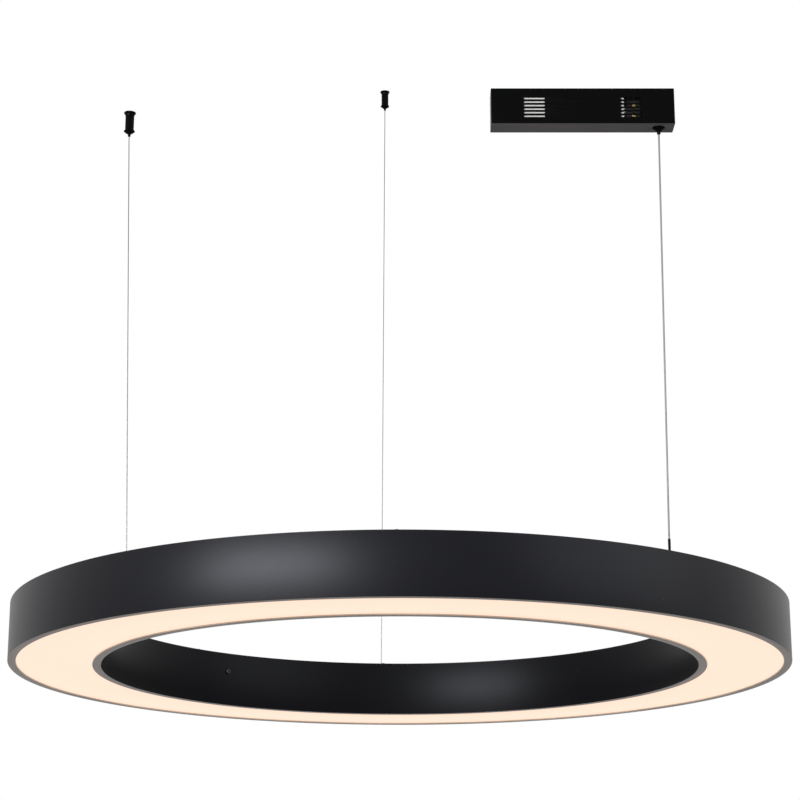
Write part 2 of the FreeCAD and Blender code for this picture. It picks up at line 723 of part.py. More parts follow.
def socket_nuts():
    """The nuts under the ribs."""
    top = RING_TOP - SHEET - RIB_SHEET
    nuts = []
    for angle in hanger_angles():
        x, y = point_on_ring(angle)
        hole = rod(x, y, SOCKET_SHANK_RADIUS + HOLE_CLEARANCE, top - NUT_HEIGHT - OVERRUN,
                   top + OVERRUN)
        nuts.append(hexagon(x, y, NUT_RADIUS, top - NUT_HEIGHT, top).cut(hole))
    return group(nuts)


def ferrule(angle, cord_radius):
    """The crimped end in a socket."""
    x, y = point_on_ring(angle)
    low = SOCKET_BOTTOM + FERRULE_RISE
    outer = rod(x, y, FERRULE_RADIUS, low, low + FERRULE_LENGTH)
    return outer.cut(rod(x, y, cord_radius + CRIMP_PLAY, low - OVERRUN,
                         low + FERRULE_LENGTH + OVERRUN))


def ferrules():
    """The crimped ends of the two wires and the cable."""
    return group([ferrule(MIDDLE_ANGLE, WIRE_RADIUS), ferrule(LEFT_ANGLE, WIRE_RADIUS),
                  ferrule(POWER_ANGLE, CABLE_RADIUS)])


def cable_sleeve():
    """The strain relief that stands on the cable's socket."""
    x, y = point_on_ring(POWER_ANGLE)
    inner = CABLE_RADIUS + CRIMP_PLAY
    outer = inner + SLEEVE_WALL
    top = SOCKET_TOP + SLEEVE_HEIGHT
    collar_top = SOCKET_TOP + SLEEVE_COLLAR_HEIGHT
    return turned(x, y, [(inner, SOCKET_TOP), (SLEEVE_COLLAR_RADIUS, SOCKET_TOP),
                         (SLEEVE_COLLAR_RADIUS, collar_top), (outer, collar_top + SLEEVE_COLLAR_HEIGHT),
                         (outer, top), (inner, top)])


def ring_lead_level():
    """The level at which the lead inside the ring enters its connector."""
    return SOCKET_BOTTOM + FERRULE_RISE - RING_LEAD_DROP - LEAD_RADIUS


def ring_lead():
    """The lead from the cable's ferrule, bent along the ring to its connector."""
    level = ring_lead_level()
    points = [at(MOUNT_RADIUS, 0, SOCKET_BOTTOM + FERRULE_RISE), at(MOUNT_RADIUS, 0, level),
              at(MOUNT_RADIUS, LEAD_RUN, level)]
    lead = cord(points, LEAD_RADIUS, "ring_lead")
    return placed_round(lead, POWER_ANGLE)


def ring_connector():
    """The connector on the carrier that the lead plugs into."""
    half = CONNECTOR_WIDTH / 2
    top = ring_lead_level() + CONNECTOR_COVER
    body = block(at(MOUNT_RADIUS - half, LEAD_RUN, CARRIER_LEVEL),
                 at(MOUNT_RADIUS + half, LEAD_RUN + CONNECTOR_LENGTH, top))
    return placed_round(body, POWER_ANGLE)


class Gripper:
    """A ceiling gripper for one wire: its axis, the level of its top and its wire."""

    def __init__(self, x, y, top, cord_radius, hollow=False):
        self.x, self.y, self.top, self.hollow = x, y, top, hollow
        self.cord_radius = cord_radius
        self.bore = cord_radius + WIRE_PLAY
        self.ball_centre = cord_radius + BALL_RADIUS + FIT_PLAY
        self.cage = self.ball_centre + CAGE_COVER
        self.chamber = self.ball_centre + BALL_RADIUS + BALL_PLAY
        self.nozzle = self.bore + NOZZLE_WALL
        self.body_top = top - GRIPPER_FLANGE_HEIGHT - GRIPPER_NECK_HEIGHT
        self.skirt_top = self.body_top - GRIPPER_BODY_HEIGHT
        self.skirt_bottom = self.skirt_top - GRIPPER_SKIRT_HEIGHT
        self.bottom = self.skirt_bottom - GRIPPER_CONE_HEIGHT
        self.nozzle_bottom = self.bottom - NOZZLE_HEIGHT
        self.spigot_top = self.body_top + SPIGOT_HEIGHT
        self.seat_bottom = self.skirt_top + SEAT_HEIGHT / 2
        self.seat_top = self.seat_bottom + SEAT_HEIGHT
        self.ball_level = self.seat_top
        self.piston_bottom = self.ball_level + CAGE_HEIGHT / 2
        self.piston_top = self.piston_bottom + PISTON_HEIGHT

    def turned(self, outline):
        """A solid of revolution about the gripper's axis."""
        return turned(self.x, self.y, outline)

    def rod(self, radius, low, high):
        """A cylinder on the gripper's axis."""
        return rod(self.x, self.y, radius, low, high)

    def anchor(self):
        """The ceiling cup: flange, tapered neck and the thread room for the barrel."""
        under = self.top - GRIPPER_FLANGE_HEIGHT
        edge = EDGE_BREAK
        outline = [(0, self.top), (GRIPPER_FLANGE_RADIUS, self.top),
                   (GRIPPER_FLANGE_RADIUS, under + edge), (GRIPPER_FLANGE_RADIUS - edge, under),
                   (GRIPPER_BODY_RADIUS, self.body_top), (0, self.body_top)]
        cup = self.turned(outline)
        room = self.rod(SPIGOT_RADIUS + THREAD_PLAY, self.body_top - OVERRUN,
                        self.spigot_top + THREAD_PLAY)
        if self.hollow:
            stud = self.rod(STUD_RADIUS, self.top, self.top + HANGER_SHEET + STUD_HEIGHT)
            bore = self.rod(self.bore, self.body_top, self.top + HANGER_SHEET + STUD_HEIGHT + OVERRUN)
            return cup.fuse(stud).removeSplitter().cut(room).cut(bore)
        sink = self.turned([(0, self.top + OVERRUN), (ANCHOR_HOLE_RADIUS, self.top + OVERRUN),
                            (ANCHOR_HOLE_RADIUS, under + edge),
                            (ANCHOR_SINK_RADIUS, self.spigot_top), (0, self.spigot_top)])
        return cup.cut(room).cut(sink)

    def barrel(self):
        """The body: spigot, barrel, skirt and cone, bored with the balls' conical seat."""
        cone_end = self.nozzle + GRIPPER_CONE_WALL
        edge = EDGE_BREAK
        outline = [(0, self.spigot_top), (SPIGOT_RADIUS, self.spigot_top),
                   (SPIGOT_RADIUS, self.body_top), (GRIPPER_BODY_RADIUS, self.body_top),
                   (GRIPPER_BODY_RADIUS, self.skirt_top + edge),
                   (GRIPPER_SKIRT_RADIUS - edge, self.skirt_top),
                   (GRIPPER_SKIRT_RADIUS, self.skirt_top - edge),
                   (GRIPPER_SKIRT_RADIUS, self.skirt_bottom + edge),
                   (GRIPPER_SKIRT_RADIUS - edge, self.skirt_bottom),
                   (cone_end, self.bottom), (0, self.bottom)]
        guide = self.nozzle + FIT_PLAY
        room = self.turned([(0, self.spigot_top + OVERRUN), (self.chamber, self.spigot_top + OVERRUN),
                            (self.chamber, self.seat_top), (guide, self.seat_bottom),
                            (guide, self.bottom - OVERRUN), (0, self.bottom - OVERRUN)])
        return self.turned(outline).cut(room)

    def nozzle_piece(self):
        """The sprung nozzle: piston, ball cage and stem, bored for the wire."""
        piston = self.chamber - FIT_PLAY
        cage_bottom = self.seat_bottom + RELEASE_TRAVEL / 2
        edge = NOZZLE_EDGE
        outline = [(0, self.piston_top), (piston, self.piston_top), (piston, self.piston_bottom),
                   (self.cage, self.piston_bottom), (self.cage, self.ball_level - BALL_RADIUS),
                   (self.nozzle, cage_bottom - RELEASE_TRAVEL / 2),
                   (self.nozzle, self.nozzle_bottom + edge),
                   (self.nozzle - edge, self.nozzle_bottom), (0, self.nozzle_bottom)]
        body = self.turned(outline).cut(self.rod(self.bore, self.nozzle_bottom - OVERRUN,
                                                 self.piston_top + OVERRUN))
        windows = []
        for k in range(BALL_COUNT):
            dx, dy = round_ring(FULL_TURN / BALL_COUNT * k, self.cage + OVERRUN)
            windows.append(Part.makeCylinder(BALL_RADIUS + BALL_PLAY, self.cage + OVERRUN,
                                             at(self.x, self.y, self.ball_level),
                                             at(dx, dy, 0)))
        return without(body, windows)

    def balls(self):
        """The gripping balls in the cage's windows."""
        spheres = []
        for k in range(BALL_COUNT):
            dx, dy = round_ring(FULL_TURN / BALL_COUNT * k, self.ball_centre)
            spheres.append(Part.makeSphere(BALL_RADIUS, at(self.x + dx, self.y + dy,
                                                           self.ball_level)))
        return group(spheres)

    def spring(self):
        """The coil spring between the anchor and the nozzle's piston."""
        low = self.piston_top + SPRING_WIRE
        high = self.spigot_top - SPRING_WIRE
        radius = self.chamber - SPRING_PLAY - SPRING_WIRE
        piece = coil(radius, SPRING_WIRE, high - low, SPRING_TURNS)
        piece.translate(at(self.x, self.y, low))
        return piece

    def cord_top(self):
        """The level where the wire ends inside the gripper."""
        return self.top - WIRE_TOP_DEPTH


def left_gripper():
    """The left wire's gripper."""
    x, y = point_on_ring(LEFT_ANGLE)
    return Gripper(x + LEFT_LEAN_X, y + LEFT_LEAN_Y, 0, WIRE_RADIUS)


def middle_gripper():
    """The middle wire's gripper, on the higher part of the ceiling."""
    x, y = point_on_ring(MIDDLE_ANGLE)
    return Gripper(x + MIDDLE_LEAN_X, y + MIDDLE_LEAN_Y, HIGH_CEILING_STEP, WIRE_RADIUS)


def power_gripper():
    """The cable's gripper, on the hanger inside the canopy."""
    return Gripper(EXIT_X, 0, POWER_GRIPPER_TOP, CABLE_RADIUS, hollow=True)


def hung_cord(gripper, angle, rise, name):
    """A wire from inside its gripper to its ferrule on the ring."""
    x, y = point_on_ring(angle)
    end = SOCKET_BOTTOM + FERRULE_RISE
    points = [at(gripper.x, gripper.y, gripper.cord_top()),
              at(gripper.x, gripper.y, gripper.nozzle_bottom - WIRE_RISE),
              at(x, y, rise + WIRE_RISE), at(x, y, end)]
    return cord(points, gripper.cord_radius, name, longest_reach=WIRE_RISE)


def canopy_cover():
    """The long narrow cover, open at the top, with its exit hole and its vents."""
    x, y, low = CANOPY_LENGTH / 2, CANOPY_DEPTH / 2, -CANOPY_HEIGHT
    outer = block(at(-x, -y, low), at(x, y, 0))
    upright = [edge for edge in outer.Edges if edge.tangentAt(0).cross(UP).Length < UP.Length / 2]
    outer = outer.makeFillet(CANOPY_CORNER, upright)
    sheet = CANOPY_SHEET
    inside = block(at(sheet - x, sheet - y, low + sheet), at(x - sheet, y - sheet, OVERRUN))
    hole = rod(EXIT_X, 0, GRIPPER_SKIRT_RADIUS + EXIT_PLAY, low - OVERRUN, low + sheet + OVERRUN)
    return without(outer.cut(inside).cut(hole), vents())


def vents():
    """The rows of rounded slots through the front and back walls."""
    half, radius = VENT_LENGTH / 2 - VENT_SLOT / 2, VENT_SLOT / 2
    depth = CANOPY_DEPTH + 2 * OVERRUN
    slots = []
    for side in (-1, 1):
        for k in range(VENT_COUNT):
            level = -VENT_LEVEL + (k - (VENT_COUNT - 1) / 2) * VENT_PITCH
            x = side * VENT_X
            slot = block(at(x - half, -depth / 2, level - radius), at(x + half, depth / 2, level + radius))
            ends = [Part.makeCylinder(radius, depth, at(x + end * half, -depth / 2, level),
                                      at(0, 1, 0)) for end in (-1, 1)]
            slots.append(slot.fuse(ends).removeSplitter())
    return slots


def ceiling_bracket():
    """The bracket against the ceiling, with an ear at each end that grips the cover."""
    half, sheet = BRACKET_DEPTH / 2, BRACKET_SHEET
    base = block(at(-BRACKET_HALF, -half, -sheet), at(BRACKET_HALF, half, 0))
    ears = [block(at(-BRACKET_HALF, -half, -EAR_HEIGHT), at(sheet - BRACKET_HALF, half, 0)),
            block(at(BRACKET_HALF - sheet, -half, -EAR_HEIGHT), at(BRACKET_HALF, half, 0))]
    holes = [rod(x, 0, CEILING_HOLE_RADIUS, -sheet - OVERRUN, OVERRUN)
             for x in (-CEILING_HOLE_X, CEILING_HOLE_X)]
    holes.append(rod(ENTRY_X, 0, ENTRY_RADIUS, -sheet - OVERRUN, OVERRUN))
    holes += [flat_hole(x, 0, 0, sheet) for x in flat_screw_places()]
    holes += [flat_hole(EXIT_X, y, 0, sheet) for y in hanger_screw_places()]
    return without(base.fuse(ears).removeSplitter(), holes)


def flat_screw_places():
    """Where the driver and the terminal block are screwed to the bracket from above."""
    return [DRIVER_LEFT + DRIVER_SCREW_INSET, DRIVER_RIGHT - DRIVER_SCREW_INSET, TERMINAL_X]


def bracket_screws():
    """The countersunk screws from above, flush with the ceiling face."""
    screws = [flat_screw(x, 0, 0) for x in flat_screw_places()]
    return group(screws)


def mains_grommet():
    """The soft ring in the mains entry."""
    sheet, inner = BRACKET_SHEET, ENTRY_RADIUS - GROMMET_WALL
    rim = ENTRY_RADIUS + GROMMET_RIM
    return turned(ENTRY_X, 0, [(inner, 0), (ENTRY_RADIUS, 0), (ENTRY_RADIUS, -sheet),
                               (rim, -sheet), (rim, -sheet - GROMMET_RIM),
                               (inner, -sheet - GROMMET_RIM)])


def mains_lead():
    """The lead from the mains entry into the driver's end."""
    level = -MAINS_DROP
    return cord([at(ENTRY_X, 0, 0), at(ENTRY_X, 0, level), at(DRIVER_LEFT, 0, level)],
                MAINS_RADIUS, "mains_lead")


def driver_case():
    """The driver's white case, open towards the bracket."""
    half, top = DRIVER_DEPTH / 2, -BRACKET_SHEET - DRIVER_LID
    outer = block(at(DRIVER_LEFT, -half, -DRIVER_BOTTOM), at(DRIVER_RIGHT, half, top))
    upright = [edge for edge in outer.Edges if edge.tangentAt(0).cross(UP).Length < UP.Length / 2]
    outer = outer.makeFillet(DRIVER_CORNER, upright)
    wall = DRIVER_WALL
    inside = block(at(DRIVER_LEFT + wall, wall - half, wall - DRIVER_BOTTOM),
                   at(DRIVER_RIGHT - wall, half - wall, top + OVERRUN))
    return outer.cut(inside)


def driver_lid():
    """The lid that closes the driver's case under the bracket."""
    half, top = DRIVER_DEPTH / 2, -BRACKET_SHEET
    lid = block(at(DRIVER_LEFT, -half, top - DRIVER_LID), at(DRIVER_RIGHT, half, top))
    upright = [edge for edge in lid.Edges if edge.tangentAt(0).cross(UP).Length < UP.Length / 2]
    holes = [rod(x, 0, SCREW_RADIUS + HOLE_CLEARANCE, top - DRIVER_LID - OVERRUN, top + OVERRUN)
             for x in flat_screw_places()[:2]]
    return without(lid.makeFillet(DRIVER_CORNER, upright), holes)


def driver_board():
    """The driver's circuit board, upright in its case."""
    gap = DRIVER_WALL + DRIVER_BOARD_GAP
    front = DRIVER_BOARD_OFFSET
    low = DRIVER_WALL - DRIVER_BOTTOM
    high = -BRACKET_SHEET - DRIVER_LID - DRIVER_BOARD_GAP
    return block(at(DRIVER_LEFT + gap, front, low),
                 at(DRIVER_RIGHT - gap, front + DRIVER_BOARD_SHEET, high))


def driver_components():
    """The transformer and the capacitors on the driver's board."""
    face, level = DRIVER_BOARD_OFFSET, -DRIVER_BOTTOM / 2 - BRACKET_SHEET
    start = DRIVER_RIGHT - COMPONENT_INSET - CAPACITOR_COUNT * CAPACITOR_PITCH
    left = start - TRANSFORMER_LENGTH
    pieces = [block(at(left, face - TRANSFORMER_DEPTH, level - TRANSFORMER_HEIGHT / 2),
                    at(start, face, level + TRANSFORMER_HEIGHT / 2))]
    for k in range(CAPACITOR_COUNT):
        x = start + (k + 1) * CAPACITOR_PITCH - CAPACITOR_RADIUS
        pieces.append(Part.makeCylinder(CAPACITOR_RADIUS, CAPACITOR_LENGTH, at(x, face, level),
                                        at(0, -1, 0)))
    return group(pieces)


def pole_levels():
    """The levels of the terminal block's poles."""
    height = TERMINAL_BOTTOM - BRACKET_SHEET
    return [-BRACKET_SHEET - height * (k + 1 / 2) / TERMINAL_POLES for k in range(TERMINAL_POLES)]


def terminal_block():
    """The strip of poles between the driver and the cable, with its screw wells."""
    x, half = TERMINAL_X, TERMINAL_DEPTH / 2
    low, high = -TERMINAL_BOTTOM, -BRACKET_SHEET
    body = block(at(x - TERMINAL_WIDTH / 2, -half, low), at(x + TERMINAL_WIDTH / 2, half, high))
    rims = [edge for edge in body.Edges
            if edge.CenterOfMass.z < low + OVERRUN / 2 and abs(edge.tangentAt(0).y) > 1 / 2]
    body = body.makeFillet(TERMINAL_CORNER, rims)
    wells = [Part.makeCylinder(TERMINAL_WELL_RADIUS, TERMINAL_WELL_DEPTH + OVERRUN,
                               at(x, -half - OVERRUN, level), at(0, 1, 0))
             for level in pole_levels()]
    hole = rod(x, 0, SCREW_RADIUS + HOLE_CLEARANCE, high - FLAT_SCREW_LENGTH, high + OVERRUN)
    return without(body, wells + [hole])


def terminal_screws():
    """The clamping screws in the terminal block's wells."""
    face = TERMINAL_WELL_DEPTH - TERMINAL_DEPTH / 2
    screws = []
    for level in pole_levels():
        front, reach = face - TERMINAL_SCREW_HEIGHT, TERMINAL_SCREW_RADIUS + OVERRUN
        head = Part.makeCylinder(TERMINAL_SCREW_RADIUS, TERMINAL_SCREW_HEIGHT,
                                 at(TERMINAL_X, front, level), at(0, 1, 0))
        slot = block(at(TERMINAL_X - reach, front - OVERRUN, level - TERMINAL_SLOT / 2),
                     at(TERMINAL_X + reach, front + TERMINAL_SLOT, level + TERMINAL_SLOT / 2))
        screws.append(head.cut(slot))
    return group(screws)


def output_lead():
    """The short lead from the driver's end into the terminal block."""
    start = at(DRIVER_RIGHT, 0, -OUTPUT_LEAD_LEVEL)
    return Part.makeCylinder(OUTPUT_LEAD_RADIUS, TERMINAL_GAP, start, at(1, 0, 0))


def hanger_screw_places():
    """Where the hanger's tabs are screwed to the bracket, across its depth."""
    place = HANGER_DEPTH / 2 - HANGER_SHEET - HANGER_TAB / 2
    return [-place, place]


def power_hanger():
    """The stirrup that carries the cable's gripper under the bracket."""
    half, depth, sheet = HANGER_WIDTH / 2, HANGER_DEPTH / 2, HANGER_SHEET
    low, top = POWER_GRIPPER_TOP, -BRACKET_SHEET
    left, right = EXIT_X - half, EXIT_X + half
    tongue = block(at(left, -depth, low), at(right, depth, low + sheet))
    parts = []
    for side in (-1, 1):
        face = sorted((side * depth, side * (depth - sheet)))
        tab = sorted((side * depth, side * (depth - sheet - HANGER_TAB)))
        parts.append(block(at(left, face[0], low), at(right, face[1], top)))
        parts.append(block(at(left, tab[0], top - sheet), at(right, tab[1], top)))
    hole = rod(EXIT_X, 0, STUD_RADIUS + HOLE_CLEARANCE, low - OVERRUN, low + sheet + OVERRUN)
    tabs = [rod(EXIT_X, y, SCREW_RADIUS + HOLE_CLEARANCE, top - sheet - OVERRUN, top + OVERRUN)
            for y in hanger_screw_places()]
    return without(tongue.fuse(parts).removeSplitter(), [hole] + tabs)


def hanger_screws():
    """The countersunk screws of the hanger's tabs, cut short above the nut."""
    screws = []
    for y in hanger_screw_places():
        end = -BRACKET_SHEET - 2 * HANGER_SHEET
        screws.append(turned(EXIT_X, y, [(0, 0), (FLAT_HEAD_RADIUS, 0),
                                         (SCREW_RADIUS, -FLAT_HEAD_HEIGHT), (SCREW_RADIUS, end),
                                         (0, end)]))
    return group(screws)


def hanger_nut():
    """The nut on the gripper's hollow stud."""
    low = POWER_GRIPPER_TOP + HANGER_SHEET
    nut = hexagon(EXIT_X, 0, STUD_NUT_RADIUS, low, low + STUD_NUT_HEIGHT)
    return nut.cut(rod(EXIT_X, 0, STUD_RADIUS + HOLE_CLEARANCE, low - OVERRUN,
                       low + STUD_NUT_HEIGHT + OVERRUN))


def power_lead():
    """The cable's end above its gripper, bent over into the terminal block."""
    low, level = power_gripper().cord_top(), STUD_TOP + POWER_LEAD_RISE + CABLE_RADIUS
    end = TERMINAL_X + TERMINAL_WIDTH / 2
    return cord([at(EXIT_X, 0, low), at(EXIT_X, 0, level), at(end, 0, level)], CABLE_RADIUS,
                "power_lead", longest_reach=level - STUD_TOP)


def gripper_nodes(name, gripper):
    """The nodes of one gripper."""
    return {f"{name}_anchor": gripper.anchor(), f"{name}_barrel": gripper.barrel(),
            f"{name}_nozzle": gripper.nozzle_piece(), f"{name}_balls": gripper.balls(),
            f"{name}_spring": gripper.spring()}


def ring_nodes():
    """The nodes of the ring."""
    return {
        "outer_hoop": outer_hoop(), "inner_hoop": inner_hoop(), "top_plate": top_plate(),
        "top_plate_screws": top_plate_screws(), "hanger_ribs": hanger_ribs(),
        "cross_ribs": cross_ribs(), "light_carrier": light_carrier(),
        "carrier_screws": carrier_screws(), "light_boards": light_boards(),
        "light_chips": light_chips(), "board_links": board_links(), "diffuser": diffuser(),
        "diffuser_clips": diffuser_clips(), "seam_plates": seam_plates(),
        "seam_screws": seam_screws(), "wire_sockets": wire_sockets(),
        "cable_socket": cable_socket(), "socket_nuts": socket_nuts(), "ferrules": ferrules(),
        "cable_sleeve": cable_sleeve(), "ring_lead": ring_lead(),
        "ring_connector": ring_connector()}


def canopy_nodes():
    """The nodes of the canopy."""
    return {
        "canopy_cover": canopy_cover(), "ceiling_bracket": ceiling_bracket(),
        "bracket_screws": bracket_screws(), "mains_grommet": mains_grommet(),
        "mains_lead": mains_lead(), "driver_case": driver_case(), "driver_lid": driver_lid(),
        "driver_board": driver_board(), "driver_components": driver_components(),
        "terminal_block": terminal_block(), "terminal_screws": terminal_screws(),
        "output_lead": output_lead(), "power_hanger": power_hanger(),
        "hanger_screws": hanger_screws(), "hanger_nut": hanger_nut(), "power_lead": power_lead()}


def cord_nodes():
    """The two wires and the cable."""
    sleeve_top = SOCKET_TOP + SLEEVE_HEIGHT
    return {
        "left_wire": hung_cord(left_gripper(), LEFT_ANGLE, SOCKET_TOP, "left_wire"),
        "middle_wire": hung_cord(middle_gripper(), MIDDLE_ANGLE, SOCKET_TOP, "middle_wire"),
        "power_cable": hung_cord(power_gripper(), POWER_ANGLE, sleeve_top, "power_cable")}


def main():
    """Builds every node and writes one file for each."""
    os.makedirs("parts", exist_ok=True)
    nodes = {**ring_nodes(), **canopy_nodes(), **cord_nodes()}
    for name, gripper in (("left", left_gripper()), ("middle", middle_gripper()),
                          ("power", power_gripper())):
        nodes.update(gripper_nodes(name, gripper))
    for name, shape in nodes.items():
        shape.exportStep(f"parts/{name}.step")
    print(len(nodes), "nodes")


main()
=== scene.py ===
import logging
import math
from dataclasses import dataclass
from enum import Enum
from typing import Callable, Iterable, Mapping, Sequence, Union

import bmesh
import bpy
from mathutils import Matrix, Vector


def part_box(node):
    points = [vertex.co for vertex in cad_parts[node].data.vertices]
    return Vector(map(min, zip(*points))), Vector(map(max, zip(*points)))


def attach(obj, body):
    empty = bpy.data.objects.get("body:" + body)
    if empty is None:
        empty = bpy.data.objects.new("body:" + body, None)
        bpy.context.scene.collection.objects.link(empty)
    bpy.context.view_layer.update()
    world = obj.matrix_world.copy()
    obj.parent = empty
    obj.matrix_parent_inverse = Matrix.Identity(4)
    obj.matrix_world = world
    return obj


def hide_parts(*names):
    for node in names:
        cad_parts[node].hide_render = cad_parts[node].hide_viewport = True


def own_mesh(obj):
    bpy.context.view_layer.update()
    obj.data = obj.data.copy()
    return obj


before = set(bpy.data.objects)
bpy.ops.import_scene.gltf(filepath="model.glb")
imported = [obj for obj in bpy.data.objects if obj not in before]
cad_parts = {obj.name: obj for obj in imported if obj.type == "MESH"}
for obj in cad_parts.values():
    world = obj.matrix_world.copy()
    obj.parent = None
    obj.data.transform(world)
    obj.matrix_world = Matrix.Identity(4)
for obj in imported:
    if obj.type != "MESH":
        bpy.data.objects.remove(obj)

# The looks of a pendant light: a level ring of light on two steel ropes and one cable,
# with slim ceiling grippers and a long narrow canopy. Metres, in the frame of the packed
# model: +Z up, origin at the centre of the canopy bracket's ceiling face. Angles are in
# radians, but for those round the ring and the camera's pitch, which are in degrees.

LOG = logging.getLogger("pendant_light")
FULL_TURN = 2 * math.pi
HEX_PART = FULL_TURN / 6
SHARP_ANGLE = math.radians(32)
SOFTENED_ANGLE = math.radians(50)
FLAT_ANGLE = math.radians(0.5)
WELD = 1e-5
OVERRUN = 0.002
ARCS = 3
LONGEST_CUT = 0.48
SEED = 7
CLOUD_RANGE = (0.3, 0.7)
Colour = tuple[float, float, float, float]
Palette = Mapping[str, bpy.types.Material]


class Body(str, Enum):
    """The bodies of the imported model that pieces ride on."""

    ROOT = "root"
    RING = "ring"
    COVER = "canopy_cover"
    LEFT_NOZZLE = "left_nozzle"
    MIDDLE_NOZZLE = "middle_nozzle"
    POWER_NOZZLE = "power_nozzle"


class Section(Enum):
    """The shape of one level of a turned piece, seen along its axis."""

    ROUND = "round"
    HEX = "hex"


def shade(red: float, green: float, blue: float) -> Colour:
    """An opaque linear colour."""
    return (red, green, blue, 1.0)


def scaled(colour: Colour, gain: float) -> Colour:
    """A colour times a gain."""
    return shade(*(gain * channel for channel in colour[:3]))


class Value:
    """A number that a node tree works out, with the operators that its expressions use."""

    def __init__(self, tree: "Tree", socket: bpy.types.NodeSocket) -> None:
        """Wraps a socket.

        Args:
            tree: The tree under construction that owns the socket.
            socket: The output that carries the number.
        """
        self.tree = tree
        self.socket = socket

    def _math(self, operation: str, *terms: "Term") -> "Value":
        """One Math node.

        Args:
            operation: The node's operation.
            *terms: The numbers or values that it takes, in order.

        Returns:
            The node's result.
        """
        node = self.tree.node("ShaderNodeMath", {"operation": operation}, dict(enumerate(terms)))
        return Value(self.tree, node.outputs[0])

    def __add__(self, other: "Term") -> "Value":
        """The sum."""
        return self._math("ADD", self, other)

    __radd__ = __add__

    def __sub__(self, other: "Term") -> "Value":
        """The difference."""
        return self._math("SUBTRACT", self, other)

    def __rsub__(self, other: "Term") -> "Value":
        """The difference, the other way round."""
        return self._math("SUBTRACT", other, self)

    def __mul__(self, other: "Term") -> "Value":
        """The product."""
        return self._math("MULTIPLY", self, other)

    __rmul__ = __mul__

    def __gt__(self, other: "Term") -> "Value":
        """One where this is the greater, and zero elsewhere."""
        return self._math("GREATER_THAN", self, other)

    def __lt__(self, other: "Term") -> "Value":
        """One where this is the smaller, and zero elsewhere."""
        return self._math("LESS_THAN", self, other)

    def sine(self) -> "Value":
        """The sine, of radians."""
        return self._math("SINE", self)

    def root(self) -> "Value":
        """The square root."""
        return self._math("SQRT", self)

    def greater(self, other: "Term") -> "Value":
        """The greater of two."""
        return self._math("MAXIMUM", self, other)

    def between(self, low: float, high: float) -> "Value":
        """A smooth rise from 0 at low to 1 at high.

        Args:
            low: Where the rise starts.
            high: Where it ends.

        Returns:
            The share between 0 and 1.
        """
        node = self.tree.node(
            "ShaderNodeMapRange", {"interpolation_type": "SMOOTHSTEP"},
            {"Value": self, "From Min": low, "From Max": high})
        return Value(self.tree, node.outputs["Result"])


Term = Union[float, int, bool, str, tuple, Value, bpy.types.NodeSocket, bpy.types.ID]


class Tree:
    """A node tree under construction: every node but the maths comes from one method."""

    def __init__(self, tree: bpy.types.NodeTree) -> None:
        """Takes an empty node tree to build in."""
        self.tree = tree

    def node(self, kind: str, settings: Mapping[str, object] | None = None,
             sockets: Mapping[int | str, Term] | None = None) -> bpy.types.Node:
        """Makes one node.

        Args:
            kind: The node's type.
            settings: Its properties, set first.
            sockets: Values or links for its inputs, by name or place.

        Returns:
            The node.
        """
        made = self.tree.nodes.new(kind)
        for name, value in (settings or {}).items():
            setattr(made, name, value)
        for key, value in (sockets or {}).items():
            self.feed(made.inputs[key], value)
        return made

    def feed(self, socket: bpy.types.NodeSocket, value: Term) -> None:
        """Links an input, or sets its constant.

        Args:
            socket: The input.
            value: A value or an output to link, or a constant.
        """
        if isinstance(value, Value):
            self.tree.links.new(value.socket, socket)
        elif isinstance(value, bpy.types.NodeSocket):
            self.tree.links.new(value, socket)
        else:
            socket.default_value = value

    def split(self, vector: bpy.types.NodeSocket) -> tuple[Value, Value, Value]:
        """The three numbers of a vector."""
        node = self.node("ShaderNodeSeparateXYZ", None, {0: vector})
        return tuple(Value(self, socket) for socket in node.outputs)

    def joined(self, x: Term, y: Term, z: Term) -> bpy.types.NodeSocket:
        """A vector of three numbers."""
        return self.node("ShaderNodeCombineXYZ", None, {0: x, 1: y, 2: z}).outputs[0]


